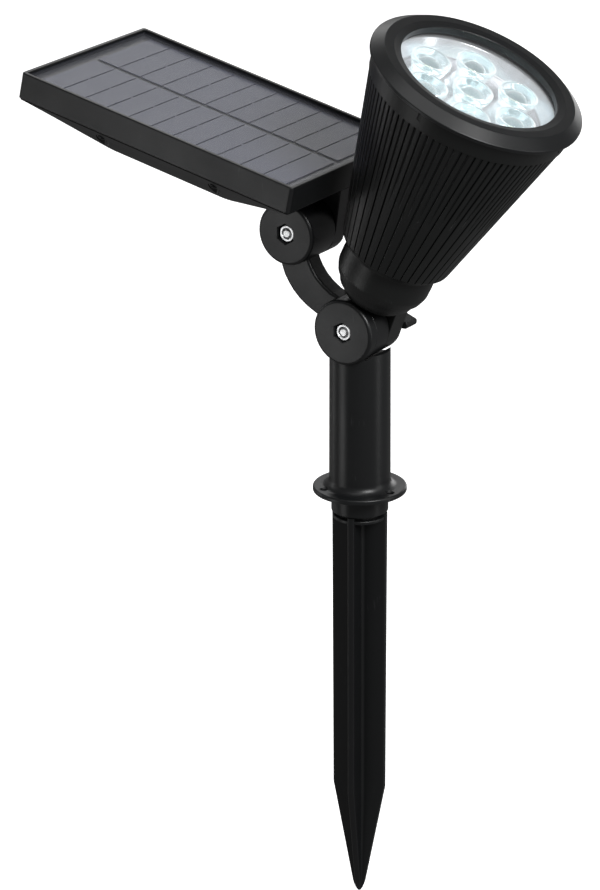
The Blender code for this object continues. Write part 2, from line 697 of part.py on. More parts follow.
def build_optics():
    flange = SPIGOT_TOP + GAP
    spots = [(0.0, 0.0)] + [(LENS_RING_R * cos(pi / 3 * i), LENS_RING_R * sin(pi / 3 * i)) for i in range(6)]
    slope = (LENS_R - LENS_FOOT_R) / (LENS_TOP_Z - 1.6 - LENS_FOOT_Z)
    window = LENS_FOOT_R + slope * (REFLECTOR_FLOOR + REFLECTOR_T - LENS_FOOT_Z) + GAP
    bowl = [
        (window, REFLECTOR_FLOOR), (33.2, REFLECTOR_FLOOR), (33.4 + REFLECTOR_T, REFLECTOR_FLOOR + 0.8),
        (36.6 + REFLECTOR_T, flange), (FLANGE_DISC_R, flange), (FLANGE_DISC_R, flange + REFLECTOR_T),
        (36.6, flange + REFLECTOR_T), (33.2, REFLECTOR_FLOOR + REFLECTOR_T),
        (window, REFLECTOR_FLOOR + REFLECTOR_T),
    ]
    reflector = lathe(bowl, 36)
    for x, y in spots[1:]:
        hole = disc(window, REFLECTOR_FLOOR - 1, REFLECTOR_FLOOR + 2, 16, start=radians(2))
        cut(reflector, moved(hole, x=x, y=y))
    piece(reflector, "reflector", "silver_reflector", LAMP)

    gasket_z = flange + REFLECTOR_T + GAP
    piece(disc(FLANGE_DISC_R, gasket_z, gasket_z + GASKET_T, 36, inner=37.0), "lens_gasket", "rubber", LAMP)
    lens_z = gasket_z + GASKET_T + GAP
    piece(disc(FLANGE_DISC_R, lens_z, lens_z + LENS_T, 48), "lens_cover", "clear_plastic", LAMP)

    board = disc(BOARD_R, LED_BOARD_Z, LED_BOARD_Z + LED_BOARD_T, 36)
    piece(board, "led_board", "board_white", LAMP)
    led_z = LED_BOARD_Z + LED_BOARD_T + GAP
    for number, (x, y) in enumerate(spots, 1):
        lens = lathe(
            [(0, LENS_FOOT_Z + 1.2), (LENS_FOOT_R - 0.8, LENS_FOOT_Z), (LENS_FOOT_R, LENS_FOOT_Z),
             (LENS_R, LENS_TOP_Z - 1.6), (LENS_R, LENS_TOP_Z), (LENS_R - 1.2, LENS_TOP_Z),
             (LENS_R - 2.6, LENS_TOP_Z - 1.2), (3.4, LENS_TOP_Z - 1.2), (0, LENS_TOP_Z - 0.4)],
            16,
        )
        piece(moved(lens, x=x, y=y), f"collimator_{number}", "clear_plastic", LAMP)
        square = [(x + u, y + v) for u, v in rectangle(-LED_HALF, LED_HALF, LED_HALF)]
        piece(prism(square, led_z, led_z + LED_T), f"led_{number}", "led_white", LAMP)


def build_battery():
    cell = lathe(
        [(0, CELL_BASE_Z), (CELL_R - 0.5, CELL_BASE_Z), (CELL_R, CELL_BASE_Z + 0.5),
         (CELL_R, CELL_BASE_Z + CELL_LEN - 0.5), (CELL_R - 0.5, CELL_BASE_Z + CELL_LEN),
         (3.0, CELL_BASE_Z + CELL_LEN), (3.0, CELL_BASE_Z + CELL_LEN + 1.0),
         (0, CELL_BASE_Z + CELL_LEN + 1.0)],
        24,
    )
    piece(cell, "battery_cell", "battery_wrap", LAMP)
    inner = CELL_R + GAP
    floor = BASE_Z + 9 + GAP
    holder = lathe(
        [(0, floor), (inner + HOLDER_WALL, floor), (inner + HOLDER_WALL, CELL_BASE_Z + HOLDER_H),
         (inner, CELL_BASE_Z + HOLDER_H), (inner, CELL_BASE_Z - GAP), (0, CELL_BASE_Z - GAP)],
        24,
    )
    piece(holder, "battery_holder", "black_nylon", LAMP)


def main():
    for old in list(bpy.data.objects):
        bpy.data.objects.remove(old)
    build_pole()
    build_spike()
    build_arm()
    build_nut("lower_nut", LOWER)
    build_nut("upper_nut", UPPER)
    build_panel()
    build_back_cover()
    build_switch()
    build_housing()
    build_bezel()
    build_optics()
    build_battery()
    build_knob("lower", LOWER, LAMP_LUG_BACK)
    build_knob("upper", UPPER, PANEL_LUG_BACK)


main()
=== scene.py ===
"""Looks of the solar garden light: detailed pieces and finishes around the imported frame, and a plain studio.

Sizes are in millimetres, each in the frame of its own sub-assembly, and MM turns them into metres. The pole
stands on the Z axis, both tilt axes run along Y, the panel leans towards -X and the lamp towards +X.
"""

import logging
from collections.abc import Mapping, Sequence
from dataclasses import dataclass
from enum import Enum
from math import atan2, cos, pi, radians, sin, tan

import bmesh
import bpy
from mathutils import Matrix, Quaternion, Vector


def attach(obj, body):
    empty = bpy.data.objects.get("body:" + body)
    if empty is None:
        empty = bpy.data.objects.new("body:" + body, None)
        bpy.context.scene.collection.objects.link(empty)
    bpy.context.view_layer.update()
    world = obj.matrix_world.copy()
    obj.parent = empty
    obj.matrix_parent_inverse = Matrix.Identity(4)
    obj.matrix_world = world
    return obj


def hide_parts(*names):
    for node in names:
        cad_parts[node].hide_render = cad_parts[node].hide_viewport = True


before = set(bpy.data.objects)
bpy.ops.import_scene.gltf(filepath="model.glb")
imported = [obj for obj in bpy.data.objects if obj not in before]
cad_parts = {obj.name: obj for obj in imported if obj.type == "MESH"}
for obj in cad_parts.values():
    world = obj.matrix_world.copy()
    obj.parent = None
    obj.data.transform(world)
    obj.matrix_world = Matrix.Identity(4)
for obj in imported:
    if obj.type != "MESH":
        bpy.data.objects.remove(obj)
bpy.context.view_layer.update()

log = logging.getLogger("garden_light")

MM = 0.001
GAP = 0.3  # between two pieces that touch
TINY = 1e-6
FINE = 128  # segments round a large turned surface
MEDIUM = 64  # segments round a boss or a head
COARSE = 32  # segments round a stud or a hole
RIM_STEPS = 4  # straight pieces in a rounding
SHARP_ANGLE = radians(32)
STRAIGHT = radians(89.5)  # half angle at which a corner counts as straight
SIDE_SHARE = 0.49  # the most of a side that one rounding may take
MITRE_LIMIT = 0.5  # keeps the inset of a sharp corner from running far out
MAP_UNIT = 10.0  # millimetres to one unit of a flat map

LOWER_AXIS_Z = 75.6
ARM_RUN = -28.6
ARM_RISE = 39.2
LAMP_TILT = radians(26.2)
PANEL_TILT = radians(12.2)
STACK_FRONT = -14.6  # front face of both joints, along Y
NUT_AF = 7.0
NUT_T = 2.2
NUT_SINK = 1.3
STUD_R = 2.0
THROUGH = 40.0  # half length of a hole's cutter
REFLECTOR_T = 0.8
GASKET_T = 0.7
LENS_COVER_T = 1.8

SOIL = Matrix.Identity(4)
LOWER = Matrix.Translation((0, 0, LOWER_AXIS_Z))
UPPER = Matrix.Translation((ARM_RUN, 0, LOWER_AXIS_Z + ARM_RISE))
LAMP = LOWER @ Matrix.Rotation(LAMP_TILT, 4, "Y")
PANEL = UPPER @ Matrix.Rotation(PANEL_TILT, 4, "Y")
Y_AXIS = Matrix.Rotation(-pi / 2, 4, "X")  # turns a shape made along Z to lie along Y

Point = tuple[float, float]
Point3 = tuple[float, float, float]
Corner = Point | Point3
Colour = tuple[float, float, float]


class Body(Enum):
    """The moving bodies that a piece can ride on."""

    POLE = "pole"
    ARM = "arm"
    PANEL = "panel"
    SWITCH = "switch"
    LAMP = "lamp"
    LOWER_KNOB = "lower_knob"
    UPPER_KNOB = "upper_knob"


class Slot(Enum):
    """The record's material slots, by name."""

    ABS = "black_abs"
    NYLON = "black_nylon"
    RUBBER = "rubber"
    STEEL = "zinc_steel"
    CLEAR = "clear_plastic"
    SILVER = "silver_reflector"
    WAFER = "solar_cell"


class Boolean(Enum):
    """How one shape acts on another."""

    JOIN = "UNION"
    CUT = "DIFFERENCE"
    KEEP_COMMON = "INTERSECT"


# ---------------------------------------------------------------------------------------------- lines


def rounded(corners: Sequence[Corner], steps: int = RIM_STEPS) -> list[Point]:
    """Rounds the corners of a closed line.

    Args:
        corners: points of the line, each with its rounding radius as a third number where it has one.
        steps: straight pieces in each rounding.

    Returns:
        The points of the rounded line, in the same order.
    """
    line: list[Point] = []
    count = len(corners)
    for index, corner in enumerate(corners):
        here = Vector(corner[:2])
        before = Vector(corners[index - 1][:2]) - here
        after = Vector(corners[(index + 1) % count][:2]) - here
        radius = corner[2] if len(corner) > 2 else 0.0
        half = before.angle(after) / 2
        if radius <= 0 or half > STRAIGHT:
            line.append((here.x, here.y))
            continue
        reach = min(radius / tan(half), SIDE_SHARE * before.length, SIDE_SHARE * after.length)
        middle = (before.normalized() + after.normalized()).normalized()
        centre = here + middle * (reach / cos(half))
        first = here + before.normalized() * reach - centre
        last = here + after.normalized() * reach - centre
        start = atan2(first.y, first.x)
        sweep = (atan2(last.y, last.x) - start + pi) % (2 * pi) - pi
        for step in range(steps + 1):
            angle = start + sweep * step / steps
            line.append((centre.x + first.length * cos(angle), centre.y + first.length * sin(angle)))
    return line


def arc(radius: float, first: float, last: float, count: int) -> list[Point]:
    """Points along an arc about the origin.

    Args:
        radius: the arc's radius.
        first: start angle in degrees.
        last: end angle in degrees.
        count: how many points, both ends among them.

    Returns:
        The points, from first to last.
    """
    angles = [radians(first + (last - first) * i / (count - 1)) for i in range(count)]
    return [(radius * cos(a), radius * sin(a)) for a in angles]


def inset(line: Sequence[Point], distance: float) -> list[Point]:
    """Moves a closed line inwards, keeping its number of points.

    Args:
        line: the points.
        distance: how far in each side moves.

    Returns:
        The moved points.
    """
    if distance == 0:
        return list(line)
    count = len(line)
    area = sum(line[i - 1][0] * line[i][1] - line[i][0] * line[i - 1][1] for i in range(count))
    side = 1.0 if area > 0 else -1.0
    moved = []
    for i in range(count):
        here = Vector(line[i])
        before = (here - Vector(line[i - 1])).normalized()
        after = (Vector(line[(i + 1) % count]) - here).normalized()
        normals = [Vector((-edge.y, edge.x)) * side for edge in (before, after)]
        middle = normals[0] + normals[1]
        middle *= 2 / max(middle.length_squared, MITRE_LIMIT)
        moved.append(tuple(here + middle * distance))
    return moved


def box_line(x0: float, x1: float, half: float, corner: float, steps: int = RIM_STEPS) -> list[Point]:
    """An outline that is symmetric about the X axis, with rounded corners."""
    return rounded([(x0, -half, corner), (x1, -half, corner), (x1, half, corner), (x0, half, corner)], steps)


def hexagon(across_flats: float) -> list[Point]:
    """A hexagon with a corner at the top."""
    corner = across_flats / 2 / cos(pi / 6)
    return [(corner * sin(pi / 3 * i), corner * cos(pi / 3 * i)) for i in range(6)]


# --------------------------------------------------------------------------------------------- shapes


def add_skin(bm: bmesh.types.BMesh, rings: Sequence[Sequence[Point3]]) -> None:
    """Adds a closed skin over a stack of rings to a bmesh.

    Args:
        bm: the bmesh.
        rings: the rings, which have equally many points.
    """
    made = [[bm.verts.new(point) for point in points] for points in rings]
    bm.faces.new(made[0])
    bm.faces.new(made[-1])
    for low, high in zip(made, made[1:]):
        for i in range(len(low)):
            j = (i + 1) % len(low)
            bm.faces.new((low[i], low[j], high[j], high[i]))


class Shape:
    """A closed mesh in the making, in millimetres."""

    def __init__(self, bm: bmesh.types.BMesh) -> None:
        """Takes over a bmesh and turns its faces outwards.

        Args:
            bm: the bmesh, which is freed.
        """
        bmesh.ops.recalc_face_normals(bm, faces=bm.faces)
        mesh = bpy.data.meshes.new("shape")
        bm.to_mesh(mesh)
        bm.free()
        self.holder = bpy.data.objects.new("shape", mesh)
        bpy.context.scene.collection.objects.link(self.holder)

    @classmethod
    def turned(cls, outline: Sequence[Point], segments: int = FINE) -> "Shape":
        """Turns a closed (radius, height) outline about Z.

        Args:
            outline: the points, where a radius of nothing becomes one vertex on the axis.
            segments: straight pieces round the axis.

        Returns:
            The turned shape.
        """
        bm = bmesh.new()
        angles = [2 * pi * i / segments for i in range(segments)]
        rings = []
        for radius, height in outline:
            if radius < TINY:
                rings.append([bm.verts.new((0, 0, height))])
            else:
                rings.append([bm.verts.new((radius * cos(a), radius * sin(a), height)) for a in angles])
        for low, high in zip(rings, rings[1:] + rings[:1]):
            if len(low) == len(high) == 1:
                continue
            for i in range(segments):
                j = (i + 1) % segments
                corners = (low[i % len(low)], low[j % len(low)], high[j % len(high)], high[i % len(high)])
                bm.faces.new(list(dict.fromkeys(corners)))
        return cls(bm)

    @classmethod
    def lofted(cls, rings: Sequence[Sequence[Point3]]) -> "Shape":
        """Skins a stack of rings that have equally many points, and caps both ends.

        Args:
            rings: the rings, each a list of (x, y, z).

        Returns:
            The skinned shape.
        """
        bm = bmesh.new()
        add_skin(bm, rings)
        return cls(bm)

    @classmethod
    def pulled(
        cls, line: Sequence[Point], low: float, high: float, low_rim: float = 0.0, high_rim: float = 0.0
    ) -> "Shape":
        """Pulls a closed line along Z.

        Args:
            line: the outline.
            low: height of the first face.
            high: height of the last face.
            low_rim: rounding of the edge round the first face.
            high_rim: rounding of the edge round the last face.

        Returns:
            The pulled shape.
        """
        turns = [pi / 2 * i / RIM_STEPS for i in range(RIM_STEPS + 1)]
        first = [(low + low_rim * (1 - cos(a)), low_rim * (1 - sin(a))) for a in turns]
        last = [(high - high_rim * (1 - sin(a)), high_rim * (1 - cos(a))) for a in turns]
        levels = (first if low_rim > 0 else [(low, 0.0)]) + (last if high_rim > 0 else [(high, 0.0)])
        return cls.lofted([[(x, y, z) for x, y in inset(line, depth)] for z, depth in levels])

    @classmethod
    def plate(
        cls, line: Sequence[Point], front: float, back: float, front_rim: float = 0.0, back_rim: float = 0.0
    ) -> "Shape":
        """Pulls an (x, z) line along Y from front to back, with its face edges rounded."""
        flat = [(x, -z) for x, z in line]
        return cls.pulled(flat, front, back, front_rim, back_rim).placed(Y_AXIS)

    @classmethod
    def disc(
        cls,
        radius: float,
        low: float,
        high: float,
        rims: tuple[float, float] = (0.0, 0.0),
        inner: float = 0.0,
        segments: int = MEDIUM,
    ) -> "Shape":
        """A disc or ring about Z.

        Args:
            radius: outer radius.
            low: height of the lower face.
            high: height of the upper face.
            rims: rounding of the outer edge at the low and the high face.
            inner: radius of a hole right through, if any.
            segments: straight pieces round the axis.

        Returns:
            The disc.
        """
        corners = [(inner, low), (radius, low, rims[0]), (radius, high, rims[1]), (inner, high)]
        return cls.turned(rounded(corners), segments)

    def placed(self, matrix: Matrix) -> "Shape":
        """Moves the shape by a matrix in millimetres."""
        self.holder.data.transform(matrix)
        return self

    def moved(self, x: float = 0.0, y: float = 0.0, z: float = 0.0) -> "Shape":
        """Slides the shape."""
        return self.placed(Matrix.Translation((x, y, z)))

    def _act(self, other: "Shape", action: Boolean) -> None:
        """Applies one Boolean at once.

        Args:
            other: the other shape, which is used up.
            action: how it acts on this one.
        """
        step = self.holder.modifiers.new("step", "BOOLEAN")
        step.operation = action.value
        step.object = other.holder
        graph = bpy.context.evaluated_depsgraph_get()
        result = bpy.data.meshes.new_from_object(self.holder.evaluated_get(graph))
        self.holder.modifiers.clear()
        self.holder.data = result
        bpy.data.objects.remove(other.holder)

    def joined(self, *others: "Shape") -> "Shape":
        """Adds other shapes to this one.

        Args:
            others: the shapes, which are used up.

        Returns:
            This shape.
        """
        for other in others:
            self._act(other, Boolean.JOIN)
        return self

    def cut(self, *others: "Shape") -> "Shape":
        """Takes other shapes out of this one.

        Args:
            others: the shapes, which are used up.

        Returns:
            This shape.
        """
        for other in others:
            self._act(other, Boolean.CUT)
        return self

    def common(self, other: "Shape") -> "Shape":
        """Keeps what this shape shares with another."""
        self._act(other, Boolean.KEEP_COMMON)
        return self

    def mapped(self) -> "Shape":
        """Adds a flat map of the shape's own x and y.

        Returns:
            This shape.
        """
        mesh = self.holder.data
        layer = mesh.uv_layers.new(name="flat")
        for loop in mesh.loops:
            point = mesh.vertices[loop.vertex_index].co
            layer.data[loop.index].uv = (point.x / MAP_UNIT, point.y / MAP_UNIT)
        return self

    def finished(
        self, name: str, finish: "Finish", place: Matrix, body: Body, nodes: Sequence[str], slot: Slot
    ) -> None:
        """Makes the shape a piece of the object.

        Args:
            name: the piece's name.
            finish: what its surface is.
            place: the frame it was made in, in millimetres.
            body: the body that it rides on.
            nodes: the CAD nodes that it stands for.
            slot: the record's slot of its finish; not used.
        """
        made = self.holder
        made.name = name
        made.data.name = name
        made.data.transform(Matrix.Scale(MM, 4) @ place)
        made.data.materials.clear()
        made.data.materials.append(finish.material())
        for face in made.data.polygons:
            face.use_smooth = True
        made.data.set_sharp_from_angle(angle=SHARP_ANGLE)
        normals = made.modifiers.new("normals", "WEIGHTED_NORMAL")
        normals.keep_sharp = True
        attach(made, body.value)
        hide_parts(*nodes)
        log.info("%s: %d faces on %s", name, len(made.data.polygons), body.value)


def dress(node: str, finish: "Finish") -> None:
    """Gives a CAD node that stays as it is a better finish.

    Args:
        node: the node's name.
        finish: what its surface is.
    """
    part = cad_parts[node]
    part.data.materials.clear()
    part.data.materials.append(finish.material())
    log.info("%s: dressed in %s", node, finish.name)


# ------------------------------------------------------------------------------------------- shading


class Wire:
    """An output socket that can be used in sums."""

    def __init__(self, sheet: "Sheet", socket: bpy.types.NodeSocket) -> None:
        """Wraps one socket of a sheet."""
        self.sheet = sheet
        self.socket = socket

    def _sum(self, operation: str, first: "Wire | float", second: "Wire | float") -> "Wire":
        """Adds one Math node."""
        return self.sheet.wire("ShaderNodeMath", {"operation": operation}, {0: first, 1: second})

    def __add__(self, other: "Wire | float") -> "Wire":
        """Self plus other."""
        return self._sum("ADD", self, other)

    __radd__ = __add__

    def __mul__(self, other: "Wire | float") -> "Wire":
        """Self times other."""
        return self._sum("MULTIPLY", self, other)

    __rmul__ = __mul__

    def __sub__(self, other: "Wire | float") -> "Wire":
        """Self less other."""
        return self._sum("SUBTRACT", self, other)

    def __rsub__(self, other: "Wire | float") -> "Wire":
        """Other less self."""
        return self._sum("SUBTRACT", other, self)

    def __gt__(self, other: "Wire | float") -> "Wire":
        """One where self is greater."""
        return self._sum("GREATER_THAN", self, other)

    def __lt__(self, other: "Wire | float") -> "Wire":
        """One where self is smaller."""
        return self._sum("LESS_THAN", self, other)

    def wrapped(self, length: float) -> "Wire":
        """What is left over after whole lengths."""
        return self._sum("FLOORED_MODULO", self, length)

    def larger(self, other: "Wire | float") -> "Wire":
        """The larger of the two."""
        return self._sum("MAXIMUM", self, other)


class Sheet:
    """The nodes of one material."""

    def __init__(self, name: str) -> None:
        """Starts a material with an empty tree.

        Args:
            name: the material's name.
        """
        self.made = bpy.data.materials.new(name)
        self.made.use_nodes = True
        self.tree = self.made.node_tree
        self.tree.nodes.clear()

    def node(
        self,
        kind: str,
        settings: Mapping[str, object] | None = None,
        sockets: Mapping[str | int, object] | None = None,
    ) -> bpy.types.Node:
        """Adds any node.

        Args:
            kind: the node's type.
            settings: its properties, set first; "stops" is a ramp's list of (position, grey or colour).
            sockets: values or wires for its inputs, by name or number.

        Returns:
            The node.
        """
        made = self.tree.nodes.new(kind)
        for key, value in (settings or {}).items():
            if key == "stops":
                for index, (position, tone) in enumerate(value):
                    elements = made.color_ramp.elements
                    stop = elements[index] if index < 2 else elements.new(position)
                    stop.position = position
                    stop.color = (*tone, 1.0) if isinstance(tone, tuple) else (tone, tone, tone, 1.0)
            else:
                setattr(made, key, value)
        for key, value in (sockets or {}).items():
            if isinstance(value, Wire):
                self.tree.links.new(value.socket, made.inputs[key])
            elif isinstance(value, tuple) and made.inputs[key].type == "RGBA":
                made.inputs[key].default_value = (*value, 1.0)
            else:
                made.inputs[key].default_value = value
        return made

    def wire(
        self,
        kind: str,
        settings: Mapping[str, object] | None = None,
        sockets: Mapping[str | int, object] | None = None,
        output: int | str = 0,
    ) -> Wire:
        """Adds any node and returns one of its outputs as a wire."""
        return Wire(self, self.node(kind, settings, sockets).outputs[output])

    def place(self, stretch: Point3 = (1.0, 1.0, 1.0)) -> Wire:
        """The point on the piece in its own space.

        Args:
            stretch: how much the space is scaled along each axis.

        Returns:
            The point.
        """
        here = self.wire("ShaderNodeTexCoord", output="Object")
        if stretch == (1.0, 1.0, 1.0):
            return here
        return self.wire("ShaderNodeMapping", None, {"Vector": here, "Scale": stretch})

    def noise(self, place: Wire, size: float, detail: float = 2.0, roughness: float = 0.5) -> Wire:
        """Soft noise from 0 to 1.

        Args:
            place: where on the piece.
            size: the size of its features in millimetres.
            detail: how many finer layers it has.
            roughness: how strong those are.

        Returns:
            The noise.
        """
        sockets = {"Vector": place, "Scale": 1 / (size * MM), "Detail": detail, "Roughness": roughness}
        return self.wire("ShaderNodeTexNoise", None, sockets)

    def ramp(self, value: Wire, stops: Sequence[tuple[float, float]]) -> Wire:
        """Passes a value through a ramp of greys."""
        return self.wire("ShaderNodeValToRGB", {"stops": stops}, {"Fac": value})

    def mixed(self, share: Wire, first: Colour | Wire, second: Colour | Wire) -> Wire:
        """Mixes two colours."""
        return self.wire("ShaderNodeMix", {"data_type": "RGBA"}, {0: share, 6: first, 7: second}, 2)

    def bump(self, height: Wire, depth: float, strength: float = 1.0) -> Wire:
        """A normal from a height between 0 and 1 that stands for a depth in millimetres."""
        sockets = {"Height": height, "Distance": depth * MM, "Strength": strength}
        return self.wire("ShaderNodeBump", None, sockets)

    def shader(self, sockets: Mapping[str, object]) -> Wire:
        """The Principled shader."""
        return self.wire("ShaderNodeBsdfPrincipled", None, sockets)

    def done(self, surface: Wire) -> bpy.types.Material:
        """Joins a surface to the output and hands over the material."""
        self.node("ShaderNodeOutputMaterial", None, {"Surface": surface})
        return self.made


class Finish:
    """A surface that makes its material once."""

    name: str

    def material(self) -> bpy.types.Material:
        """The finish as a material, made at first use."""
        return bpy.data.materials.get(self.name) or self.made()

    def made(self) -> bpy.types.Material:
        """Builds the material."""
        raise NotImplementedError


@dataclass(frozen=True)
class MouldedPlastic(Finish):
    """Black plastic from an eroded mould: fine grain, soft flow clouds and a little handling wear."""

    name: str
    colour: Colour
    worn: Colour
    roughness: float
    grain: float = 0.32  # sizes of the grain, clouds, scuffed patches, streaks and dust, in millimetres
    cloud: float = 26.0
    patch: float = 11.0
    streak: float = 0.45
    speck: float = 0.9
    grain_depth: float = 0.016
    scuffs: float = 0.5
    dust: float = 0.35

    def made(self) -> bpy.types.Material:
        """Builds the material.

        Returns:
            The material.
        """
        sheet = Sheet(self.name)
        place = sheet.place()
        grain = sheet.noise(place, self.grain, 3.0, 0.6)
        cloud = sheet.noise(place, self.cloud, 3.0, 0.55)
        patch = sheet.ramp(sheet.noise(place, self.patch, 2.0, 0.5), [(0.56, 0.0), (0.70, 1.0)])
        streak = sheet.noise(sheet.place((1.0, 1.0, 0.07)), self.streak, 1.0, 0.4)
        scuff = sheet.ramp(streak, [(0.66, 0.0), (0.72, 1.0)]) * patch * self.scuffs
        specks = sheet.ramp(sheet.noise(place, self.speck, 4.0, 0.7), [(0.60, 0.0), (0.78, 1.0)])
        wear = (scuff + specks * cloud * self.dust).larger(0.0)
        return sheet.done(
            sheet.shader(
                {
                    "Base Color": sheet.mixed(wear, self.colour, self.worn),
                    "Roughness": self.roughness + (cloud - 0.5) * 0.16 + (grain - 0.5) * 0.10 - scuff * 0.12,
                    "Normal": sheet.bump(grain + cloud * 0.6, self.grain_depth),
                }
            )
        )


@dataclass(frozen=True)
class SoftRubber(Finish):
    """Matt rubber with a powdery bloom."""

    name: str = "soft_rubber"
    colour: Colour = (0.014, 0.014, 0.015)
    bloom: Colour = (0.045, 0.045, 0.045)

    def made(self) -> bpy.types.Material:
        """Builds the material.

        Returns:
            The material.
        """
        sheet = Sheet(self.name)
        place = sheet.place()
        cloud = sheet.noise(place, 3.0, 5.0, 0.65)
        pores = sheet.noise(place, 0.18, 2.0, 0.5)
        return sheet.done(
            sheet.shader(
                {
                    "Base Color": sheet.mixed(cloud * 0.5, self.colour, self.bloom),
                    "Roughness": 0.72 + cloud * 0.2,
                    "Normal": sheet.bump(pores, 0.02),
                }
            )
        )


@dataclass(frozen=True)
class ZincPlate(Finish):
    """Bright zinc on steel, with faint turning marks and tarnish."""

    name: str = "bright_zinc"
    colour: Colour = (0.86, 0.87, 0.88)
    tarnish: Colour = (0.55, 0.55, 0.54)

    def made(self) -> bpy.types.Material:
        """Builds the material.

        Returns:
            The material.
        """
        sheet = Sheet(self.name)
        place = sheet.place()
        cloud = sheet.noise(place, 1.6, 4.0, 0.6)
        marks = sheet.noise(sheet.place((1.0, 0.15, 6.0)), 0.7, 3.0, 0.6)
        dulled = sheet.ramp(cloud, [(0.45, 0.0), (0.8, 1.0)])
        return sheet.done(
            sheet.shader(
                {
                    "Base Color": sheet.mixed(dulled, self.colour, self.tarnish),
                    "Metallic": 1.0,
                    "Roughness": 0.2 + cloud * 0.18 + marks * 0.08,
                    "Normal": sheet.bump(marks + cloud, 0.012),
                }
            )
        )


@dataclass(frozen=True)
class Silvering(Finish):
    """Vacuum-coated reflector plastic with a slight ripple, and a faint painted glow that stands in for
    reflected light.
    """

    name: str = "silvering"
    colour: Colour = (0.93, 0.94, 0.96)
    dull: Colour = (0.80, 0.82, 0.85)
    # glow: the dim end of the painted glow, which runs up to the bright silver colour
    glow: Colour = (0.42, 0.45, 0.50)

    def made(self) -> bpy.types.Material:
        """Builds the material.

        Returns:
            The material.
        """
        sheet = Sheet(self.name)
        place = sheet.place()
        ripple = sheet.noise(place, 4.5, 2.0, 0.4)
        haze = sheet.noise(place, 1.2, 4.0, 0.6)
        return sheet.done(
            sheet.shader(
                {
                    "Base Color": sheet.mixed(haze, self.colour, self.dull),
                    "Metallic": 0.75,
                    "Roughness": 0.16 + haze * 0.14,
                    # Painted light: a faint emission, varied by the ripple, that brightens the bowl as if it
                    # reflected more light
                    "Emission Color": sheet.mixed(ripple, self.glow, self.colour),
                    "Emission Strength": 0.16,
                    "Normal": sheet.bump(ripple, 0.12, 0.6),
                }
            )
        )


@dataclass(frozen=True)
class ClearSheet(Finish):
    """A flat clear cover: mostly let through, with a gloss that grows towards grazing."""

    name: str
    tint: Colour = (0.80, 0.84, 0.86)
    haze: float = 0.05
    gloss: float = 0.5
    roughness: float = 0.06

    def made(self) -> bpy.types.Material:
        """Builds the material.

        Returns:
            The material.
        """
        sheet = Sheet(self.name)
        smear = sheet.noise(sheet.place(), 9.0, 4.0, 0.6)
        grazing = sheet.wire("ShaderNodeLayerWeight", None, {"Blend": 0.35}, "Fresnel")
        return sheet.done(
            sheet.shader(
                {
                    "Base Color": self.tint,
                    "Roughness": self.roughness + smear * 0.08,
                    "Specular IOR Level": 1.0,
                    "Alpha": self.haze + smear * 0.03 + grazing * self.gloss,
                }
            )
        )


@dataclass(frozen=True)
class ClearOptic(Finish):
    """Clear moulded lens plastic, with a painted glow: tinted in the middle and bright white at the rims,
    standing in for light caught in the lens.
    """

    name: str = "clear_optic"
    tint: Colour = (0.90, 0.985, 0.99)
    # core and rim: the colours of the painted glow in the middle and at the rims of each collimator
    core: Colour = (0.30, 0.46, 0.50)
    rim: Colour = (1.0, 1.0, 1.0)

    def made(self) -> bpy.types.Material:
        """Builds the material.

        Returns:
            The material.
        """
        sheet = Sheet(self.name)
        ripple = sheet.noise(sheet.place(), 2.6, 2.0, 0.5)
        facing = sheet.wire("ShaderNodeLayerWeight", None, {"Blend": 0.5}, "Facing")
        # edge: where the painted glow turns to the bright rim colour, as the surface turns away
        edge = sheet.ramp(facing + (ripple - 0.5) * 0.3, [(0.30, 0.0), (0.62, 1.0)])
        return sheet.done(
            sheet.shader(
                {
                    "Base Color": self.tint,
                    # Painted light: the emission stands in for light gathered and thrown back inside the lens
                    "Emission Color": sheet.mixed(edge, self.core, self.rim),
                    "Emission Strength": 0.2,
                    "Roughness": 0.03 + ripple * 0.05,
                    "IOR": 1.49,
                    "Transmission Weight": 1.0,
                    "Normal": sheet.bump(ripple, 0.1, 0.5),
                }
            )
        )


@dataclass(frozen=True)
class SolarWafer(Finish):
    """Dark silicon under a film: fine fingers along the panel, soft shade changes from cell to cell."""

    name: str = "solar_wafer"
    colour: Colour = (0.030, 0.035, 0.068)
    lighter: Colour = (0.046, 0.052, 0.094)
    finger: Colour = (0.11, 0.115, 0.14)
    finger_pitch: float = 1.25
    finger_width: float = 0.12

    def made(self) -> bpy.types.Material:
        """Builds the material.

        Returns:
            The material.
        """
        sheet = Sheet(self.name)
        place = sheet.place()
        flat = sheet.wire("ShaderNodeTexCoord", output="UV")
        across = sheet.wire("ShaderNodeSeparateXYZ", None, {0: flat}, 1)
        part = (across * (MAP_UNIT / self.finger_pitch)).wrapped(1.0)
        lines = part < self.finger_width / self.finger_pitch
        cloud = sheet.noise(place, 30.0, 3.0, 0.6)
        crystal = sheet.noise(place, 0.6, 3.0, 0.7)
        silicon = sheet.mixed(cloud * 0.8 + crystal * 0.2, self.colour, self.lighter)
        return sheet.done(
            sheet.shader(
                {
                    "Base Color": sheet.mixed(lines * 0.6, silicon, self.finger),
                    "Roughness": 0.42 + crystal * 0.10,
                    "Specular IOR Level": 0.4,
                    "Coat Weight": 0.35,
                    "Coat Roughness": 0.22,
                    "Normal": sheet.bump(cloud, 0.02),
                }
            )
        )


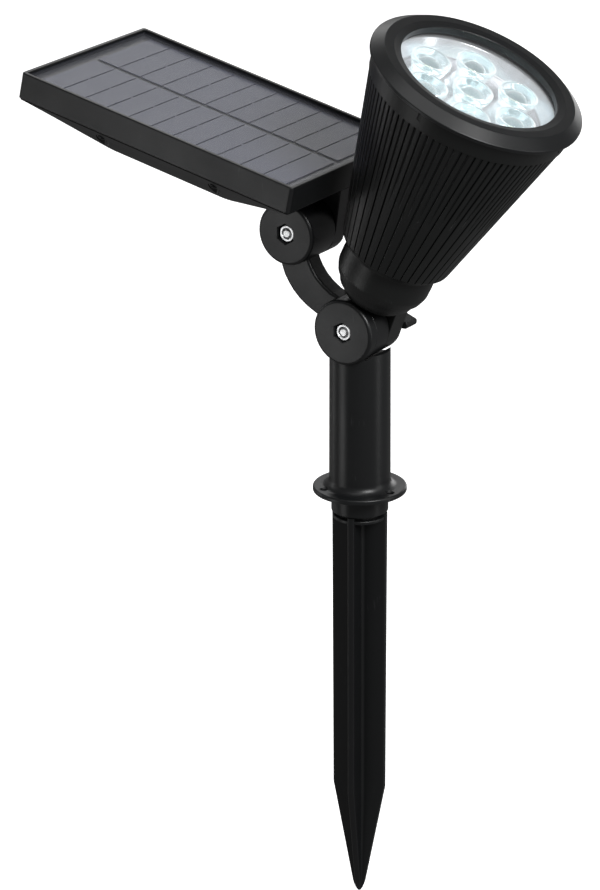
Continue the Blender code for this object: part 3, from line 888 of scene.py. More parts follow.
@dataclass(frozen=True)
class BackingFilm(Finish):
    """The black laminate round the cells, with a pressed weave."""

    name: str = "backing_film"
    colour: Colour = (0.022, 0.023, 0.027)
    lighter: Colour = (0.040, 0.041, 0.047)

    def made(self) -> bpy.types.Material:
        """Builds the material.

        Returns:
            The material.
        """
        sheet = Sheet(self.name)
        place = sheet.place()
        weave = sheet.noise(place, 0.7, 2.0, 0.5)
        cloud = sheet.noise(place, 14.0, 3.0, 0.6)
        return sheet.done(
            sheet.shader(
                {
                    "Base Color": sheet.mixed(cloud, self.colour, self.lighter),
                    "Roughness": 0.4 + weave * 0.12,
                    "Coat Weight": 0.35,
                    "Coat Roughness": 0.22,
                    "Normal": sheet.bump(weave, 0.004),
                }
            )
        )


@dataclass(frozen=True)
class Lacquer(Finish):
    """A lacquered board, an emitter's phosphor or a cell's shrink wrap."""

    name: str
    colour: Colour
    lighter: Colour
    roughness: float = 0.45
    size: float = 2.0

    def made(self) -> bpy.types.Material:
        """Builds the material.

        Returns:
            The material.
        """
        sheet = Sheet(self.name)
        place = sheet.place()
        cloud = sheet.noise(place, self.size, 3.0, 0.6)
        return sheet.done(
            sheet.shader(
                {
                    "Base Color": sheet.mixed(cloud, self.colour, self.lighter),
                    "Roughness": self.roughness + cloud * 0.1,
                    "Normal": sheet.bump(cloud, 0.01),
                }
            )
        )


SATIN_ABS = MouldedPlastic("satin_abs", (0.0070, 0.0076, 0.0082), (0.040, 0.041, 0.043), 0.37)
RIBBED_ABS = MouldedPlastic("ribbed_abs", (0.0070, 0.0078, 0.0076), (0.050, 0.051, 0.052), 0.40, scuffs=0.9)
KNOB_NYLON = MouldedPlastic("knob_nylon", (0.010, 0.0105, 0.011), (0.045, 0.045, 0.046), 0.5, grain=0.5)
RUBBER = SoftRubber()
ZINC = ZincPlate()
BLACK_ZINC = ZincPlate("black_zinc", (0.035, 0.036, 0.038), (0.015, 0.015, 0.016))
SILVER = Silvering()
LENS_SHEET = ClearSheet("lens_sheet", (0.9, 0.92, 0.94), 0.0, 0.18, 0.03)
PANEL_SHEET = ClearSheet("panel_sheet", (0.20, 0.21, 0.26), 0.02, 0.10, 0.25)
OPTIC = ClearOptic()
WAFER = SolarWafer()
BACKING = BackingFilm()
WHITE_BOARD = Lacquer("white_board", (0.78, 0.79, 0.78), (0.86, 0.87, 0.86))
GREEN_BOARD = Lacquer("green_board", (0.02, 0.12, 0.05), (0.04, 0.20, 0.09))
PHOSPHOR = Lacquer("phosphor", (0.85, 0.80, 0.42), (0.92, 0.90, 0.66), 0.5, 0.6)
WRAP = Lacquer("shrink_wrap", (0.03, 0.10, 0.30), (0.05, 0.16, 0.42), 0.35, 8.0)


# ----------------------------------------------------------------------------------------- hardware


@dataclass
class Hardware:
    """Nuts, studs, friction rings and the pockets that hold them, shared by both joints."""

    pocket_gap: float = 0.4
    pocket_mouth: float = 0.35
    hole_r: float = STUD_R + GAP
    nut_chamfer: float = 0.55
    nut_lead_r: float = STUD_R + 1.5
    stud_proud: float = 0.3
    stud_chamfer: float = 0.3
    ring_in: float = 6.8
    ring_out: float = 10.2
    ring_t: float = 1.0
    ring_edge: float = 0.2
    thread_pitch: float = 0.7
    thread_depth: float = 0.28

    def pocket(self) -> Shape:
        """The hexagonal space for a nut, with a small lead-in at its mouth.

        Returns:
            The shape to cut away, round the joint's axis.
        """
        width = NUT_AF + 2 * self.pocket_gap
        floor = STACK_FRONT + NUT_SINK + NUT_T + GAP
        levels = (
            (STACK_FRONT - 1.0, width + 2 * self.pocket_mouth),
            (STACK_FRONT - 0.05, width + 2 * self.pocket_mouth),
            (STACK_FRONT + self.pocket_mouth, width),
            (floor, width),
        )
        return Shape.lofted([[(x, -z, y) for x, z in hexagon(size)] for y, size in levels]).placed(Y_AXIS)

    def hole(self) -> Shape:
        """The stud's hole right through a joint."""
        return Shape.disc(self.hole_r, -THROUGH, THROUGH, segments=COARSE).placed(Y_AXIS)

    def groove(self, front: float) -> Shape:
        """The groove that a friction ring sits in."""
        inner, outer = self.ring_in - GAP, self.ring_out + GAP
        return Shape.disc(outer, front - 0.5, front + self.ring_t + GAP, inner=inner).placed(Y_AXIS)

    def ring(self, name: str, front: float, place: Matrix, body: Body) -> None:
        """Builds one friction ring.

        Args:
            name: the CAD node that it stands for.
            front: its front face, along the joint's axis.
            place: the joint's frame.
            body: the body that it rides on.
        """
        edge = self.ring_edge
        back = front + self.ring_t
        corners = [
            (self.ring_in, front, edge),
            (self.ring_out, front, edge),
            (self.ring_out, back, edge),
            (self.ring_in, back, edge),
        ]
        made = Shape.turned(rounded(corners, 3), MEDIUM).placed(Y_AXIS)
        made.finished(f"{name}_piece", RUBBER, place, body, [name], Slot.RUBBER)

    def nut(self, name: str, place: Matrix, body: Body) -> None:
        """Builds one chamfered hexagon nut.

        Args:
            name: the CAD node that it stands for.
            place: the joint's frame.
            body: the body that it rides on.
        """
        front = STACK_FRONT + NUT_SINK
        back = front + NUT_T
        face_r = NUT_AF / 2 - 0.15
        barrel_r = NUT_AF / 2 / cos(pi / 6) + 0.15
        barrel = [
            (0, front),
            (face_r, front, 0.2),
            (barrel_r, front + self.nut_chamfer),
            (barrel_r, back - self.nut_chamfer),
            (face_r, back, 0.2),
            (0, back),
        ]
        made = Shape.plate(hexagon(NUT_AF), front, back)
        made.common(Shape.turned(rounded(barrel), MEDIUM).placed(Y_AXIS))
        lead = [
            (0, front - 1),
            (self.nut_lead_r, front - 1),
            (self.hole_r - 0.1, front + 0.5),
            (0, front + 0.5),
        ]
        made.cut(self.hole(), Shape.turned(lead, COARSE).placed(Y_AXIS))
        made.finished(f"{name}_piece", ZINC, place, body, [name], Slot.STEEL)

    def stud(self, name: str, back: float, place: Matrix, body: Body) -> None:
        """Builds one stud, threaded over its whole length.

        Args:
            name: the CAD node that it stands for.
            back: its back end, along the joint's axis.
            place: the joint's frame.
            body: the body that it rides on.
        """
        front = STACK_FRONT + NUT_SINK - self.stud_proud
        core = STUD_R - self.thread_depth
        outline: list[Point] = [(0, front), (STUD_R - 0.55, front), (STUD_R - 0.2, front + self.stud_chamfer)]
        turns = int((back - front - 1.0) / self.thread_pitch)
        for index in range(turns):
            start = front + 0.5 + index * self.thread_pitch
            outline += [
                (core, start),
                (STUD_R, start + 0.3 * self.thread_pitch),
                (STUD_R, start + 0.5 * self.thread_pitch),
            ]
        outline += [(core, back - 0.2), (STUD_R - 0.5, back), (0, back)]
        made = Shape.turned(outline, COARSE).placed(Y_AXIS)
        made.finished(f"{name}_piece", ZINC, place, body, [name], Slot.STEEL)


HARDWARE = Hardware()


# --------------------------------------------------------------------------------------------- pole


@dataclass
class PoleAndSpike:
    """The tube with its flange and front ear, and the spike that is pushed into it."""

    tube_r_top: float = 13.2
    tube_r_low: float = 13.4
    rim_drop: float = 10.6
    crown_drop: float = 5.5
    bore_r: float = 10.0
    bore_top: float = 50.0
    flange_r: float = 20.5
    flange_t: float = 2.2
    hole_count: int = 3
    hole_r: float = 1.5
    hole_pcr: float = 16.6
    hole_start: float = radians(-6.0)
    collar_r: float = 12.45
    collar_h: float = 9.2
    ear_r: float = 14.5
    ear_t: float = 5.0
    saddle_gap: float = 0.6
    face_step: float = 0.2
    window: float = 30.0  # half width and height of the space behind the ear
    sink: float = 1.0  # how much wider a flange hole gets at the top
    spike_turn: float = radians(13.0)
    plate_r: float = 11.9
    plate_top: float = -10.9
    plate_t: float = 1.5
    plug_top: float = 12.0
    vane_edge: float = 0.6
    key_r: float = 11.6
    key_half: float = 1.1
    key_angle: float = radians(-75.0)

    def build(self) -> None:
        """Builds both pieces and the lower nut."""
        self.build_tube()
        self.build_spike()
        HARDWARE.nut("lower_nut", LOWER, Body.POLE)

    def build_tube(self) -> None:
        """Builds the pole."""
        crown = LOWER_AXIS_Z - self.crown_drop
        rim = LOWER_AXIS_Z - self.rim_drop
        corners = [
            (self.bore_r, -self.collar_h, 0.3),
            (self.collar_r, -self.collar_h, 0.45),
            (self.collar_r, 0.0),
            (self.flange_r, 0.0, 0.4),
            (self.flange_r, self.flange_t, 0.8),
            (self.tube_r_low, self.flange_t, 3.6),
            (self.tube_r_top, crown),
            (0.0, crown),
            (0.0, self.bore_top),
            (self.bore_r, self.bore_top, 0.5),
        ]
        pole = Shape.turned(rounded(corners, 6), FINE)
        clear_y = STACK_FRONT + self.ear_t
        relief = clear_y - self.face_step
        back = 2 * self.tube_r_low
        wide = self.window
        saddle = Shape.disc(self.ear_r + self.saddle_gap, relief - 0.1, back, segments=FINE)
        pole.cut(
            Shape.plate([(-wide, rim), (wide, rim), (wide, rim + wide), (-wide, rim + wide)], relief, back),
            saddle.placed(Y_AXIS).moved(z=LOWER_AXIS_Z),
        )
        ear = Shape.disc(self.ear_r, STACK_FRONT, clear_y, (1.5, 0.15), segments=FINE).placed(Y_AXIS)
        ear.cut(HARDWARE.pocket(), HARDWARE.hole()).moved(z=LOWER_AXIS_Z)
        pole.joined(ear)
        sink = [
            (0, -1),
            (self.hole_r, -1),
            (self.hole_r, self.flange_t - self.sink / 2),
            (self.hole_r + self.sink, self.flange_t + self.sink / 2),
            (0, self.flange_t + self.sink / 2),
        ]
        for index in range(self.hole_count):
            angle = self.hole_start + 2 * pi * index / self.hole_count
            x, y = self.hole_pcr * cos(angle), self.hole_pcr * sin(angle)
            pole.cut(Shape.turned(sink, COARSE).moved(x=x, y=y))
        pole.finished("pole_piece", SATIN_ABS, SOIL, Body.POLE, ["pole"], Slot.ABS)

    def plus_ring(self, height: float, span: float, half: float, fillet: float) -> list[Point3]:
        """A plus-shaped ring with rounded vane edges and filleted inner corners.

        Args:
            height: its height.
            span: how far the vanes reach.
            half: half the thickness of a vane.
            fillet: radius between two vanes.

        Returns:
            The points.
        """
        edge = min(self.vane_edge, half * self.vane_edge)
        corners: list[Corner] = []
        for index in range(4):
            c, s = round(cos(index * pi / 2)), round(sin(index * pi / 2))
            for x, y, r in ((span, -half, edge), (span, half, edge), (half, half, fillet)):
                corners.append((x * c - y * s, x * s + y * c, r))
        return [(x, y, height) for x, y in rounded(corners)]

    def build_spike(self) -> None:
        """Builds the ground spike."""
        levels = (
            (-self.collar_h - GAP, 12.4, 1.5, 1.4),
            (-30.0, 12.3, 1.5, 1.4),
            (-90.0, 12.1, 1.5, 1.4),
            (-140.6, 11.95, 1.5, 1.4),
            (-141.8, 11.8, 1.5, 1.4),
            (-143.2, 11.5, 1.5, 1.4),
            (-189.0, 2.75, 1.25, 1.0),
            (-190.6, 2.3, 1.1, 0.66),
            (-192.6, 1.5, 0.7, 0.3),
            (-193.7, 0.8, 0.35, 0.1),
            (-194.0, 0.45, 0.2, 0.05),
        )
        spike = Shape.lofted([self.plus_ring(*level) for level in levels])
        spike.placed(Matrix.Rotation(self.spike_turn, 4, "Z"))
        plug_r = self.bore_r - GAP
        top = self.plate_top
        plate = Shape.disc(self.plate_r, top - self.plate_t, top, (0.3, 0.45), segments=FINE)
        plug = Shape.disc(plug_r, top - 0.5, self.plug_top, (0.0, 1.0), segments=FINE)
        outline = box_line(plug_r - 1, self.key_r, self.key_half, 0.4)
        key = Shape.pulled(outline, top - 0.3, -self.collar_h - GAP, 0, 0.2)
        key.placed(Matrix.Rotation(self.key_angle, 4, "Z"))
        spike.joined(plate, plug, key)
        spike.finished("ground_spike_piece", SATIN_ABS, SOIL, Body.POLE, ["ground_spike"], Slot.ABS)


# ---------------------------------------------------------------------------------------------- arm


@dataclass
class Arm:
    """The curved arm between the two joints, in the lower joint's frame."""

    front: float = -9.3
    back: float = 0.5
    lug_r: float = 14.3
    boss_r: float = 13.85
    boss_back: float = 3.6
    face_step: float = 0.2
    edge: float = 1.3
    bend: float = 7.0
    overlap: float = 3.0  # how far the bar runs into the lug and the boss

    def build(self) -> None:
        """Builds the arm, the upper nut and the front ring."""
        bend = self.bend
        outer = [
            (ARM_RUN - 7.0, ARM_RISE - 11.0),
            (-34.4, 23.0, bend),
            (-33.0, 19.2, bend),
            (-30.9, 15.7, bend),
            (-28.4, 12.4, bend),
            (-25.3, 9.4, bend),
            (-21.6, 6.7, bend),
            (-16.6, 4.0, bend),
            (-12.0, 1.0, bend),
            (-6.0, -3.0),
        ]
        inner = [
            (6.0, 10.0),
            (-3.0, 12.7, bend),
            (-9.0, 15.0, bend),
            (-13.0, 17.7, bend),
            (-16.0, 20.5, bend),
            (-18.4, 23.8, bend),
            (-20.2, 27.2, bend),
            (ARM_RUN + 8.0, ARM_RISE - 9.0),
        ]
        low, high = self.front + self.face_step, self.back - self.face_step
        bar = Shape.plate(rounded(outer + inner, 3), low, high, self.edge, self.edge)
        lug = Shape.disc(self.lug_r, self.front, self.back, (0.4, 0.4), segments=FINE).placed(Y_AXIS)
        boss = Shape.disc(self.boss_r, STACK_FRONT, self.boss_back, (1.5, 0.4), segments=FINE).placed(Y_AXIS)
        boss.cut(HARDWARE.pocket(), HARDWARE.hole()).moved(x=ARM_RUN, z=ARM_RISE)
        lug.cut(HARDWARE.groove(self.front), HARDWARE.hole())
        lug_core = Shape.disc(self.lug_r - self.overlap, -THROUGH, THROUGH).placed(Y_AXIS)
        boss_core = Shape.disc(self.boss_r - self.overlap, -THROUGH, THROUGH).placed(Y_AXIS)
        bar.cut(lug_core, boss_core.moved(x=ARM_RUN, z=ARM_RISE))
        bar.joined(lug, boss)
        bar.finished("tilt_arm_piece", SATIN_ABS, LOWER, Body.ARM, ["tilt_arm"], Slot.ABS)
        HARDWARE.nut("upper_nut", UPPER, Body.ARM)
        HARDWARE.ring("lower_ring_front", self.front, LOWER, Body.ARM)


# -------------------------------------------------------------------------------------------- panel


@dataclass
class SolarPanel:
    """Tray, cells, back cover with its lug, screws and switch, in the upper joint's tilted frame."""

    x0: float = -124.9
    x1: float = 17.0
    half: float = 45.6
    top: float = 36.4
    tray_h: float = 11.9
    wall: float = 2.0
    corner: float = 1.6
    ledge_top: float = 31.4
    ledge_t: float = 1.6
    ledge_in: float = 5.0
    mouth: float = 0.35
    post_r: float = 3.3
    post_wall: float = 1.4
    seal_t: float = 0.6
    backing_t: float = 1.0
    cell_count: int = 11
    cell_margin_x: float = 7.0
    cell_margin_y: float = 4.6
    cell_split: float = 0.6
    bus_gap: float = 2.7
    cell_t: float = 0.3
    cell_corner: float = 0.25
    cell_slope: float = 0.08
    ribbon_half: float = 0.8
    ribbon_inset: float = 1.0
    cover_depth: float = 9.8
    cover_lip: float = 0.5
    cover_wall: float = 2.0
    far_inset: float = 41.0
    near_inset: float = 32.5
    side_inset: float = 9.6
    far_grow: float = 4.0  # how much further the hollow's edges are set in, for each bit of wall
    near_grow: float = 3.2
    side_grow: float = 1.4
    far_trim: float = 3.0
    near_trim: float = 2.0
    screw_x: tuple[float, float] = (-82.0, -23.0)
    screw_y: float = 40.4
    head_r: float = 2.7
    head_t: float = 1.8
    shank_r: float = 1.4
    screw_pitch: float = 1.0
    recess_reach: float = 1.5
    recess_half: float = 0.35
    recess_depth: float = 0.9
    seat_z: float = 22.3
    switch_x: float = -55.0
    button_r: float = 4.6
    button_proud: float = 1.0
    button_flange_r: float = 6.2
    button_core_r: float = 3.6
    button_top: float = 19.3
    lug_r: float = 13.85
    lug_front: float = 3.9
    lug_back: float = 13.1

    def build(self) -> None:
        """Builds every piece of the panel."""
        self.build_tray()
        self.build_cells()
        self.build_cover()
        self.build_screws()
        self.build_button()
        HARDWARE.ring("upper_ring", self.lug_front, PANEL, Body.PANEL)
        dress("panel_seal", RUBBER)
        dress("pv_backing", BACKING)
        dress("pv_cover", PANEL_SHEET)
        dress("charge_board", GREEN_BOARD)

    def cover_top(self) -> float:
        """Height of the back cover's upper face."""
        return self.top - self.tray_h - GAP

    def screw_places(self) -> list[Point]:
        """Where the four screws are."""
        return [(x, y) for x in self.screw_x for y in (-self.screw_y, self.screw_y)]

    def build_tray(self) -> None:
        """Builds the frame round the cells."""
        bottom = self.top - self.tray_h
        ix0, ix1, ihalf = self.x0 + self.wall, self.x1 - self.wall, self.half - self.wall
        tray = Shape.pulled(box_line(self.x0, self.x1, self.half, self.corner), bottom, self.top, 0.4, 0.55)
        recess = [
            (self.ledge_top, 0.0),
            (self.top - self.mouth, 0.0),
            (self.top + 0.05, self.mouth),
            (self.top + 1.0, self.mouth),
        ]
        well = [[(x, y, z) for x, y in box_line(ix0 - w, ix1 + w, ihalf + w, 0.5, 2)] for z, w in recess]
        opening = box_line(ix0 + self.ledge_in, ix1 - self.ledge_in, ihalf - self.ledge_in, 2.0)
        under = self.ledge_top - self.ledge_t
        tray.cut(
            Shape.lofted(well),
            Shape.pulled(box_line(ix0, ix1, ihalf, 0.5, 2), bottom - 1, under),
            Shape.pulled(opening, bottom, self.top),
        )
        for x, y in self.screw_places():
            post = Shape.disc(self.post_r, bottom, self.ledge_top - 0.8, segments=COARSE)
            tray.joined(post.moved(x=x, y=y))
        for x, y in self.screw_places():
            tray.cut(Shape.disc(self.shank_r + GAP, bottom - 1, under, segments=COARSE).moved(x=x, y=y))
        tray.finished("panel_tray_piece", SATIN_ABS, PANEL, Body.PANEL, ["panel_tray"], Slot.ABS)

    def build_cells(self) -> None:
        """Builds both strings of cells, each with the ribbon that joins its wafers."""
        low = self.ledge_top + 2 * GAP + self.seal_t + self.backing_t + GAP
        pitch = (self.x1 - self.x0 - 2 * self.cell_margin_x) / self.cell_count
        inner, outer = self.bus_gap / 2, self.half - self.cell_margin_y
        corner = self.cell_corner
        first = self.x0 + self.cell_margin_x + self.ribbon_inset
        last = self.x1 - self.cell_margin_x - self.ribbon_inset
        for name, side in (("cell_string_near", -1), ("cell_string_far", 1)):
            bm = bmesh.new()
            for index in range(self.cell_count):
                start = self.x0 + self.cell_margin_x + index * pitch + self.cell_split / 2
                end = start + pitch - self.cell_split
                corners = [
                    (start, inner, corner),
                    (end, inner, corner),
                    (end, outer, corner),
                    (start, outer, corner),
                ]
                line = [(x, side * y) for x, y in rounded(corners, 2)]
                self.add_wafer(bm, line, low, low + self.cell_t)
            strings = Shape(bm)
            middle = side * (inner + outer) / 2
            y0, y1 = middle - self.ribbon_half, middle + self.ribbon_half
            ribbon = [(first, y0), (last, y0), (last, y1), (first, y1)]
            strings.joined(Shape.pulled(ribbon, low + 0.05, low + self.cell_t - 0.05))
            strings.mapped().finished(f"{name}_piece", WAFER, PANEL, Body.PANEL, [name], Slot.WAFER)

    def add_wafer(self, bm: bmesh.types.BMesh, line: Sequence[Point], low: float, high: float) -> None:
        """Adds one thin wafer with a small edge slope to a bmesh.

        Args:
            bm: the bmesh.
            line: the wafer's outline.
            low: height of its lower face.
            high: height of its upper face.
        """
        levels = ((low, 0.0), (high - self.cell_slope, 0.0), (high, self.cell_slope))
        add_skin(bm, [[(x, y, z) for x, y in inset(line, depth)] for z, depth in levels])

    def hip(self, grow: float, levels: Sequence[tuple[float, float]], floor_corner: float) -> Shape:
        """A hipped body below the tray.

        Args:
            grow: the wall between it and the cover's outside.
            levels: pairs of height below the cover's top and share of the full insets.
            floor_corner: corner radius at full inset.

        Returns:
            The body.
        """
        far = self.far_inset - grow * self.far_trim
        near = self.near_inset - grow * self.near_trim
        rings = []
        for depth, share in levels:
            line = box_line(
                self.x0 + self.cover_lip + grow * self.far_grow + far * share,
                self.x1 - self.cover_lip - grow * self.near_grow - near * share,
                self.half - self.cover_lip - grow * self.side_grow - self.side_inset * share,
                self.corner + (floor_corner - self.corner) * min(share, 1.0),
            )
            rings.append([(x, y, self.cover_top() - depth) for x, y in line])
        return Shape.lofted(rings)

    def build_cover(self) -> None:
        """Builds the back cover with its lug and screw recesses."""
        depth = self.cover_depth
        levels = [(0.0, 0.012), (0.25, 0.0), (0.6, 0.045)]
        levels += [(depth * share, share) for share in (0.35, 0.65, 0.93)]
        levels += [(depth * 0.975, 0.985), (depth, 1.03)]
        cover = self.hip(0.0, levels, 5.0)
        thin = depth - self.cover_wall
        hollow = self.hip(self.cover_wall, [(-0.5, -0.04), (0.0, 0.0), (thin, 1.0)], 4.0)
        top = self.cover_top()
        floor = top - depth
        for x, y in self.screw_places():
            post = Shape.disc(self.head_r + GAP + self.post_wall, floor - 1, top + 1, segments=COARSE)
            hollow.cut(post.moved(x=x, y=y))
        cover.cut(hollow)
        slope = depth / self.near_inset
        root = floor + 0.8 + slope * (12.0 - self.x1 + self.cover_lip + self.near_inset)
        lug = [
            *arc(self.lug_r, 200, 340, 40),
            (self.lug_r - 0.2, 2.0),
            (12.0, root),
            (-14.5, root - 26.5 * slope),
            (0.2 - self.lug_r, 2.0),
        ]
        cover.joined(Shape.plate(lug, self.lug_front, self.lug_back, 0.4, 0.7))
        cover.cut(HARDWARE.hole(), HARDWARE.groove(self.lug_front))
        wide, narrow = self.head_r + GAP, self.shank_r + GAP
        well = [
            (0, 0),
            (wide, 0),
            (wide, self.seat_z - 0.2),
            (wide - 0.2, self.seat_z),
            (narrow, self.seat_z),
            (narrow, top + 1),
            (0, top + 1),
        ]
        for x, y in self.screw_places():
            cover.cut(Shape.turned(well, COARSE).moved(x=x, y=y))
        bore_r, flare = self.button_r + GAP, 0.6
        bore = [
            (0, floor - 5),
            (bore_r + flare, floor - 5),
            (bore_r + flare, floor),
            (bore_r, floor + flare),
            (bore_r, floor + 5),
            (0, floor + 5),
        ]
        cover.cut(Shape.turned(bore, MEDIUM).moved(x=self.switch_x))
        cover.finished("back_cover_piece", SATIN_ABS, PANEL, Body.PANEL, ["back_cover"], Slot.ABS)

    def build_screws(self) -> None:
        """Builds the four cover screws with their cross recesses."""
        top = self.seat_z - GAP
        low = top - self.head_t
        tip = self.ledge_top - self.ledge_t - GAP
        a, b = self.recess_reach, self.recess_half
        for number, (x, y) in enumerate(self.screw_places(), 1):
            outline: list[Point] = [(0, low), (1.2, low + 0.05), (2.0, low + 0.3), (2.5, low + 0.75)]
            outline += [(self.head_r, low + 1.2), (self.head_r, top - 0.2), (self.head_r - 0.2, top)]
            outline += [(self.shank_r - 0.3, top)]
            for turn in range(int((tip - top - 1.6) / self.screw_pitch)):
                start = top + 0.4 + turn * self.screw_pitch
                outline += [(self.shank_r - 0.35, start), (self.shank_r, start + 0.45)]
            outline += [(self.shank_r - 0.4, tip - 0.9), (0, tip)]
            screw = Shape.turned(outline, COARSE)
            for turn in (0.0, pi / 2):
                slot = Shape.pulled([(-a, -b), (a, -b), (a, b), (-a, b)], low - 1, low + self.recess_depth)
                screw.cut(slot.placed(Matrix.Rotation(turn + 0.4 * number, 4, "Z")))
            name = f"cover_screw_{number}"
            screw.moved(x=x, y=y).finished(f"{name}_piece", BLACK_ZINC, PANEL, Body.PANEL, [name], Slot.STEEL)

    def build_button(self) -> None:
        """Builds the soft push button with a ring and a pip moulded on it."""
        floor = self.cover_top() - self.cover_depth
        out = floor - self.button_proud
        step = floor + self.cover_wall + GAP
        outline = [
            (0, out),
            (0.8, out),
            (1.1, out + 0.35),
            (2.3, out + 0.35),
            (2.6, out),
            (self.button_r, out, 0.6),
            (self.button_r, step),
            (self.button_flange_r, step, 0.2),
            (self.button_flange_r, step + 0.8, 0.2),
            (self.button_core_r, step + 0.8),
            (self.button_core_r, self.button_top),
            (0, self.button_top),
        ]
        button = Shape.turned(rounded(outline), MEDIUM).moved(x=self.switch_x)
        button.finished("switch_button_piece", RUBBER, PANEL, Body.SWITCH, ["switch_button"], Slot.RUBBER)


# --------------------------------------------------------------------------------------------- lamp


@dataclass
class LampHead:
    """Ribbed housing and bezel, in the lamp's tilted frame with +Z along the beam."""

    rib_count: int = 45
    rib_h: float = 0.9
    flank_end: float = 0.85  # degrees from a long groove's middle to the top of its flank
    rib_start: float = 40.5
    rib_end: float = 118.5
    crest_start: float = 24.4
    crest_end: float = 43.8
    split_start: float = 76.0  # where the short grooves between the long ones begin
    base_z: float = 15.2
    wall: float = 2.0
    board_z: float = 108.6
    board_r: float = 37.2
    band_r: float = 45.4
    band_top: float = 126.4
    band_bore_r: float = 43.6
    groove_floor: float = 121.2
    spigot_r: float = 42.0
    spigot_top: float = 123.4
    spigot_t: float = 2.4
    board_ledge: float = 3.4
    lug_r: float = 14.1
    lug_front: float = 0.8
    lug_back: float = 12.0
    bezel_r: float = 47.3
    bezel_top: float = 131.7
    bezel_segments: int = 192
    opening_r: float = 34.7
    notch_count: int = 4
    notch_start: float = radians(-88)
    notch_half: float = 0.8

    def build(self) -> None:
        """Builds the housing, the bezel and the rear ring."""
        self.build_housing()
        self.build_bezel()
        HARDWARE.ring("lower_ring_rear", self.lug_front, LAMP, Body.LAMP)
        dress("battery_cell", WRAP)
        dress("battery_holder", KNOB_NYLON)

    def crest(self, height: float) -> float:
        """The radius over the ribs at a height."""
        share = (height - self.rib_start) / (self.rib_end - self.rib_start)
        return self.crest_start + (self.crest_end - self.crest_start) * share

    def rib_ring(self, height: float, sink: float, base: float, split: float = 0.0) -> list[Point3]:
        """One ring round the ribs.

        Args:
            height: its height.
            sink: how deep the long grooves are, from 0 to 1.
            base: radius over the ribs.
            split: how deep the short grooves in the middle of the ribs are, from 0 to 1.

        Returns:
            The points.
        """
        flank = ((-0.62, 0.98), (-0.38, 0.62), (-0.2, 0.1), (0.0, 0.0))  # degrees, share of the long groove
        dip = ((-1.1, 0.0), (-0.7, 0.2), (-0.45, 0.8), (0.0, 1.0))  # degrees, share of the short groove
        half = 180 / self.rib_count
        points = []
        for index in range(self.rib_count):
            start = 360 * index / self.rib_count
            steps = [(-half, sink)]
            steps += [(-half + self.flank_end + offset, depth * sink) for offset, depth in flank]
            steps += [(offset, depth * split) for offset, depth in dip]
            steps += [(-offset, depth) for offset, depth in steps[:0:-1] if offset < 0]
            for offset, depth in steps:
                angle = radians(start + offset)
                radius = base - self.rib_h * depth
                points.append((radius * cos(angle), radius * sin(angle), height))
        return points

    def neck_rings(self) -> list[list[Point3]]:
        """Rings from the lug's root up the neck to the foot of the ribs.

        Returns:
            The rings, from the lowest.
        """
        foot = self.crest(self.rib_start) - self.rib_h
        neck = [
            (0.5, self.base_z),
            (13.6, self.base_z, 1.2),
            (15.6, self.base_z + 3.0, 0.5),
            (16.8, self.base_z + 3.6, 0.5),
            (18.6, 23.0, 0.8),
            (19.3, 23.1, 0.25),
            (20.6, 26.6, 4.0),
            (20.7, 31.4, 4.0),
            (20.5, 37.4, 1.0),
            (21.6, 39.4, 1.2),
            (foot - 0.1, self.rib_start - 0.05),
        ]
        return [self.rib_ring(z, 0.0, radius) for radius, z in rounded(neck, 5)[:-1]]

    def ribbed_rings(self) -> list[list[Point3]]:
        """Rings over the ribs, with rounded starts and ends.

        Returns:
            The rings, from the lowest.
        """
        start, end, core = self.rib_start, self.rib_end, self.rib_h
        rings = []
        for rise, depth in ((0.0, core), (0.25, core * 0.45), (0.8, 0.12), (1.6, 0.0)):
            rings.append(self.rib_ring(start + rise, 1 - depth / core, self.crest(start + rise) - depth))
        for height, split in ((50.0, 0.0), (self.split_start, 0.0), (self.split_start + 8, 0.7), (96.0, 0.9)):
            rings.append(self.rib_ring(height, 1.0, self.crest(height), split))
        for drop, sink in ((0.5, 1.0), (0.1, 0.9)):
            rings.append(self.rib_ring(end - drop, sink, self.crest(end - drop), sink * 0.9))
        rings.append(self.rib_ring(end + 0.05, 0.0, self.crest(end) - 0.05))
        rings.append(self.rib_ring(end + 0.15, 0.0, self.crest(end) + 0.2))
        return rings

    def mouth_rings(self) -> list[list[Point3]]:
        """Rings over the band and the spigot, down past the board's ledge to the floor of the hollow.

        Returns:
            The rings, from the band.
        """
        start, end = self.rib_start, self.rib_end
        shell = self.rib_h + self.wall
        ledge = self.board_z - GAP
        ledge_r = self.board_r - self.board_ledge
        rim = self.spigot_r - self.spigot_t
        line = [
            (self.crest(end) + 0.3, end + 0.3, 0.1),
            (self.band_r, self.band_top, 0.25),
            (self.band_bore_r, self.band_top, 0.2),
            (self.band_bore_r, self.groove_floor),
            (self.spigot_r, self.groove_floor),
            (self.spigot_r, self.spigot_top, 0.3),
            (rim, self.spigot_top),
            (rim, end - 1.0),
            (self.crest(self.board_z) - shell, ledge),
            (ledge_r, ledge),
            (ledge_r, ledge - 2.0),
            (self.crest(ledge - 4.5) - shell, ledge - 4.5),
            (self.crest(start) - shell, start + 1.0),
            (18.4, 36.5),
            (17.8, 26.0),
            (16.0, self.base_z + 9),
            (0.5, self.base_z + 9),
        ]
        return [self.rib_ring(z, 0.0, radius) for radius, z in rounded(line, 2)]

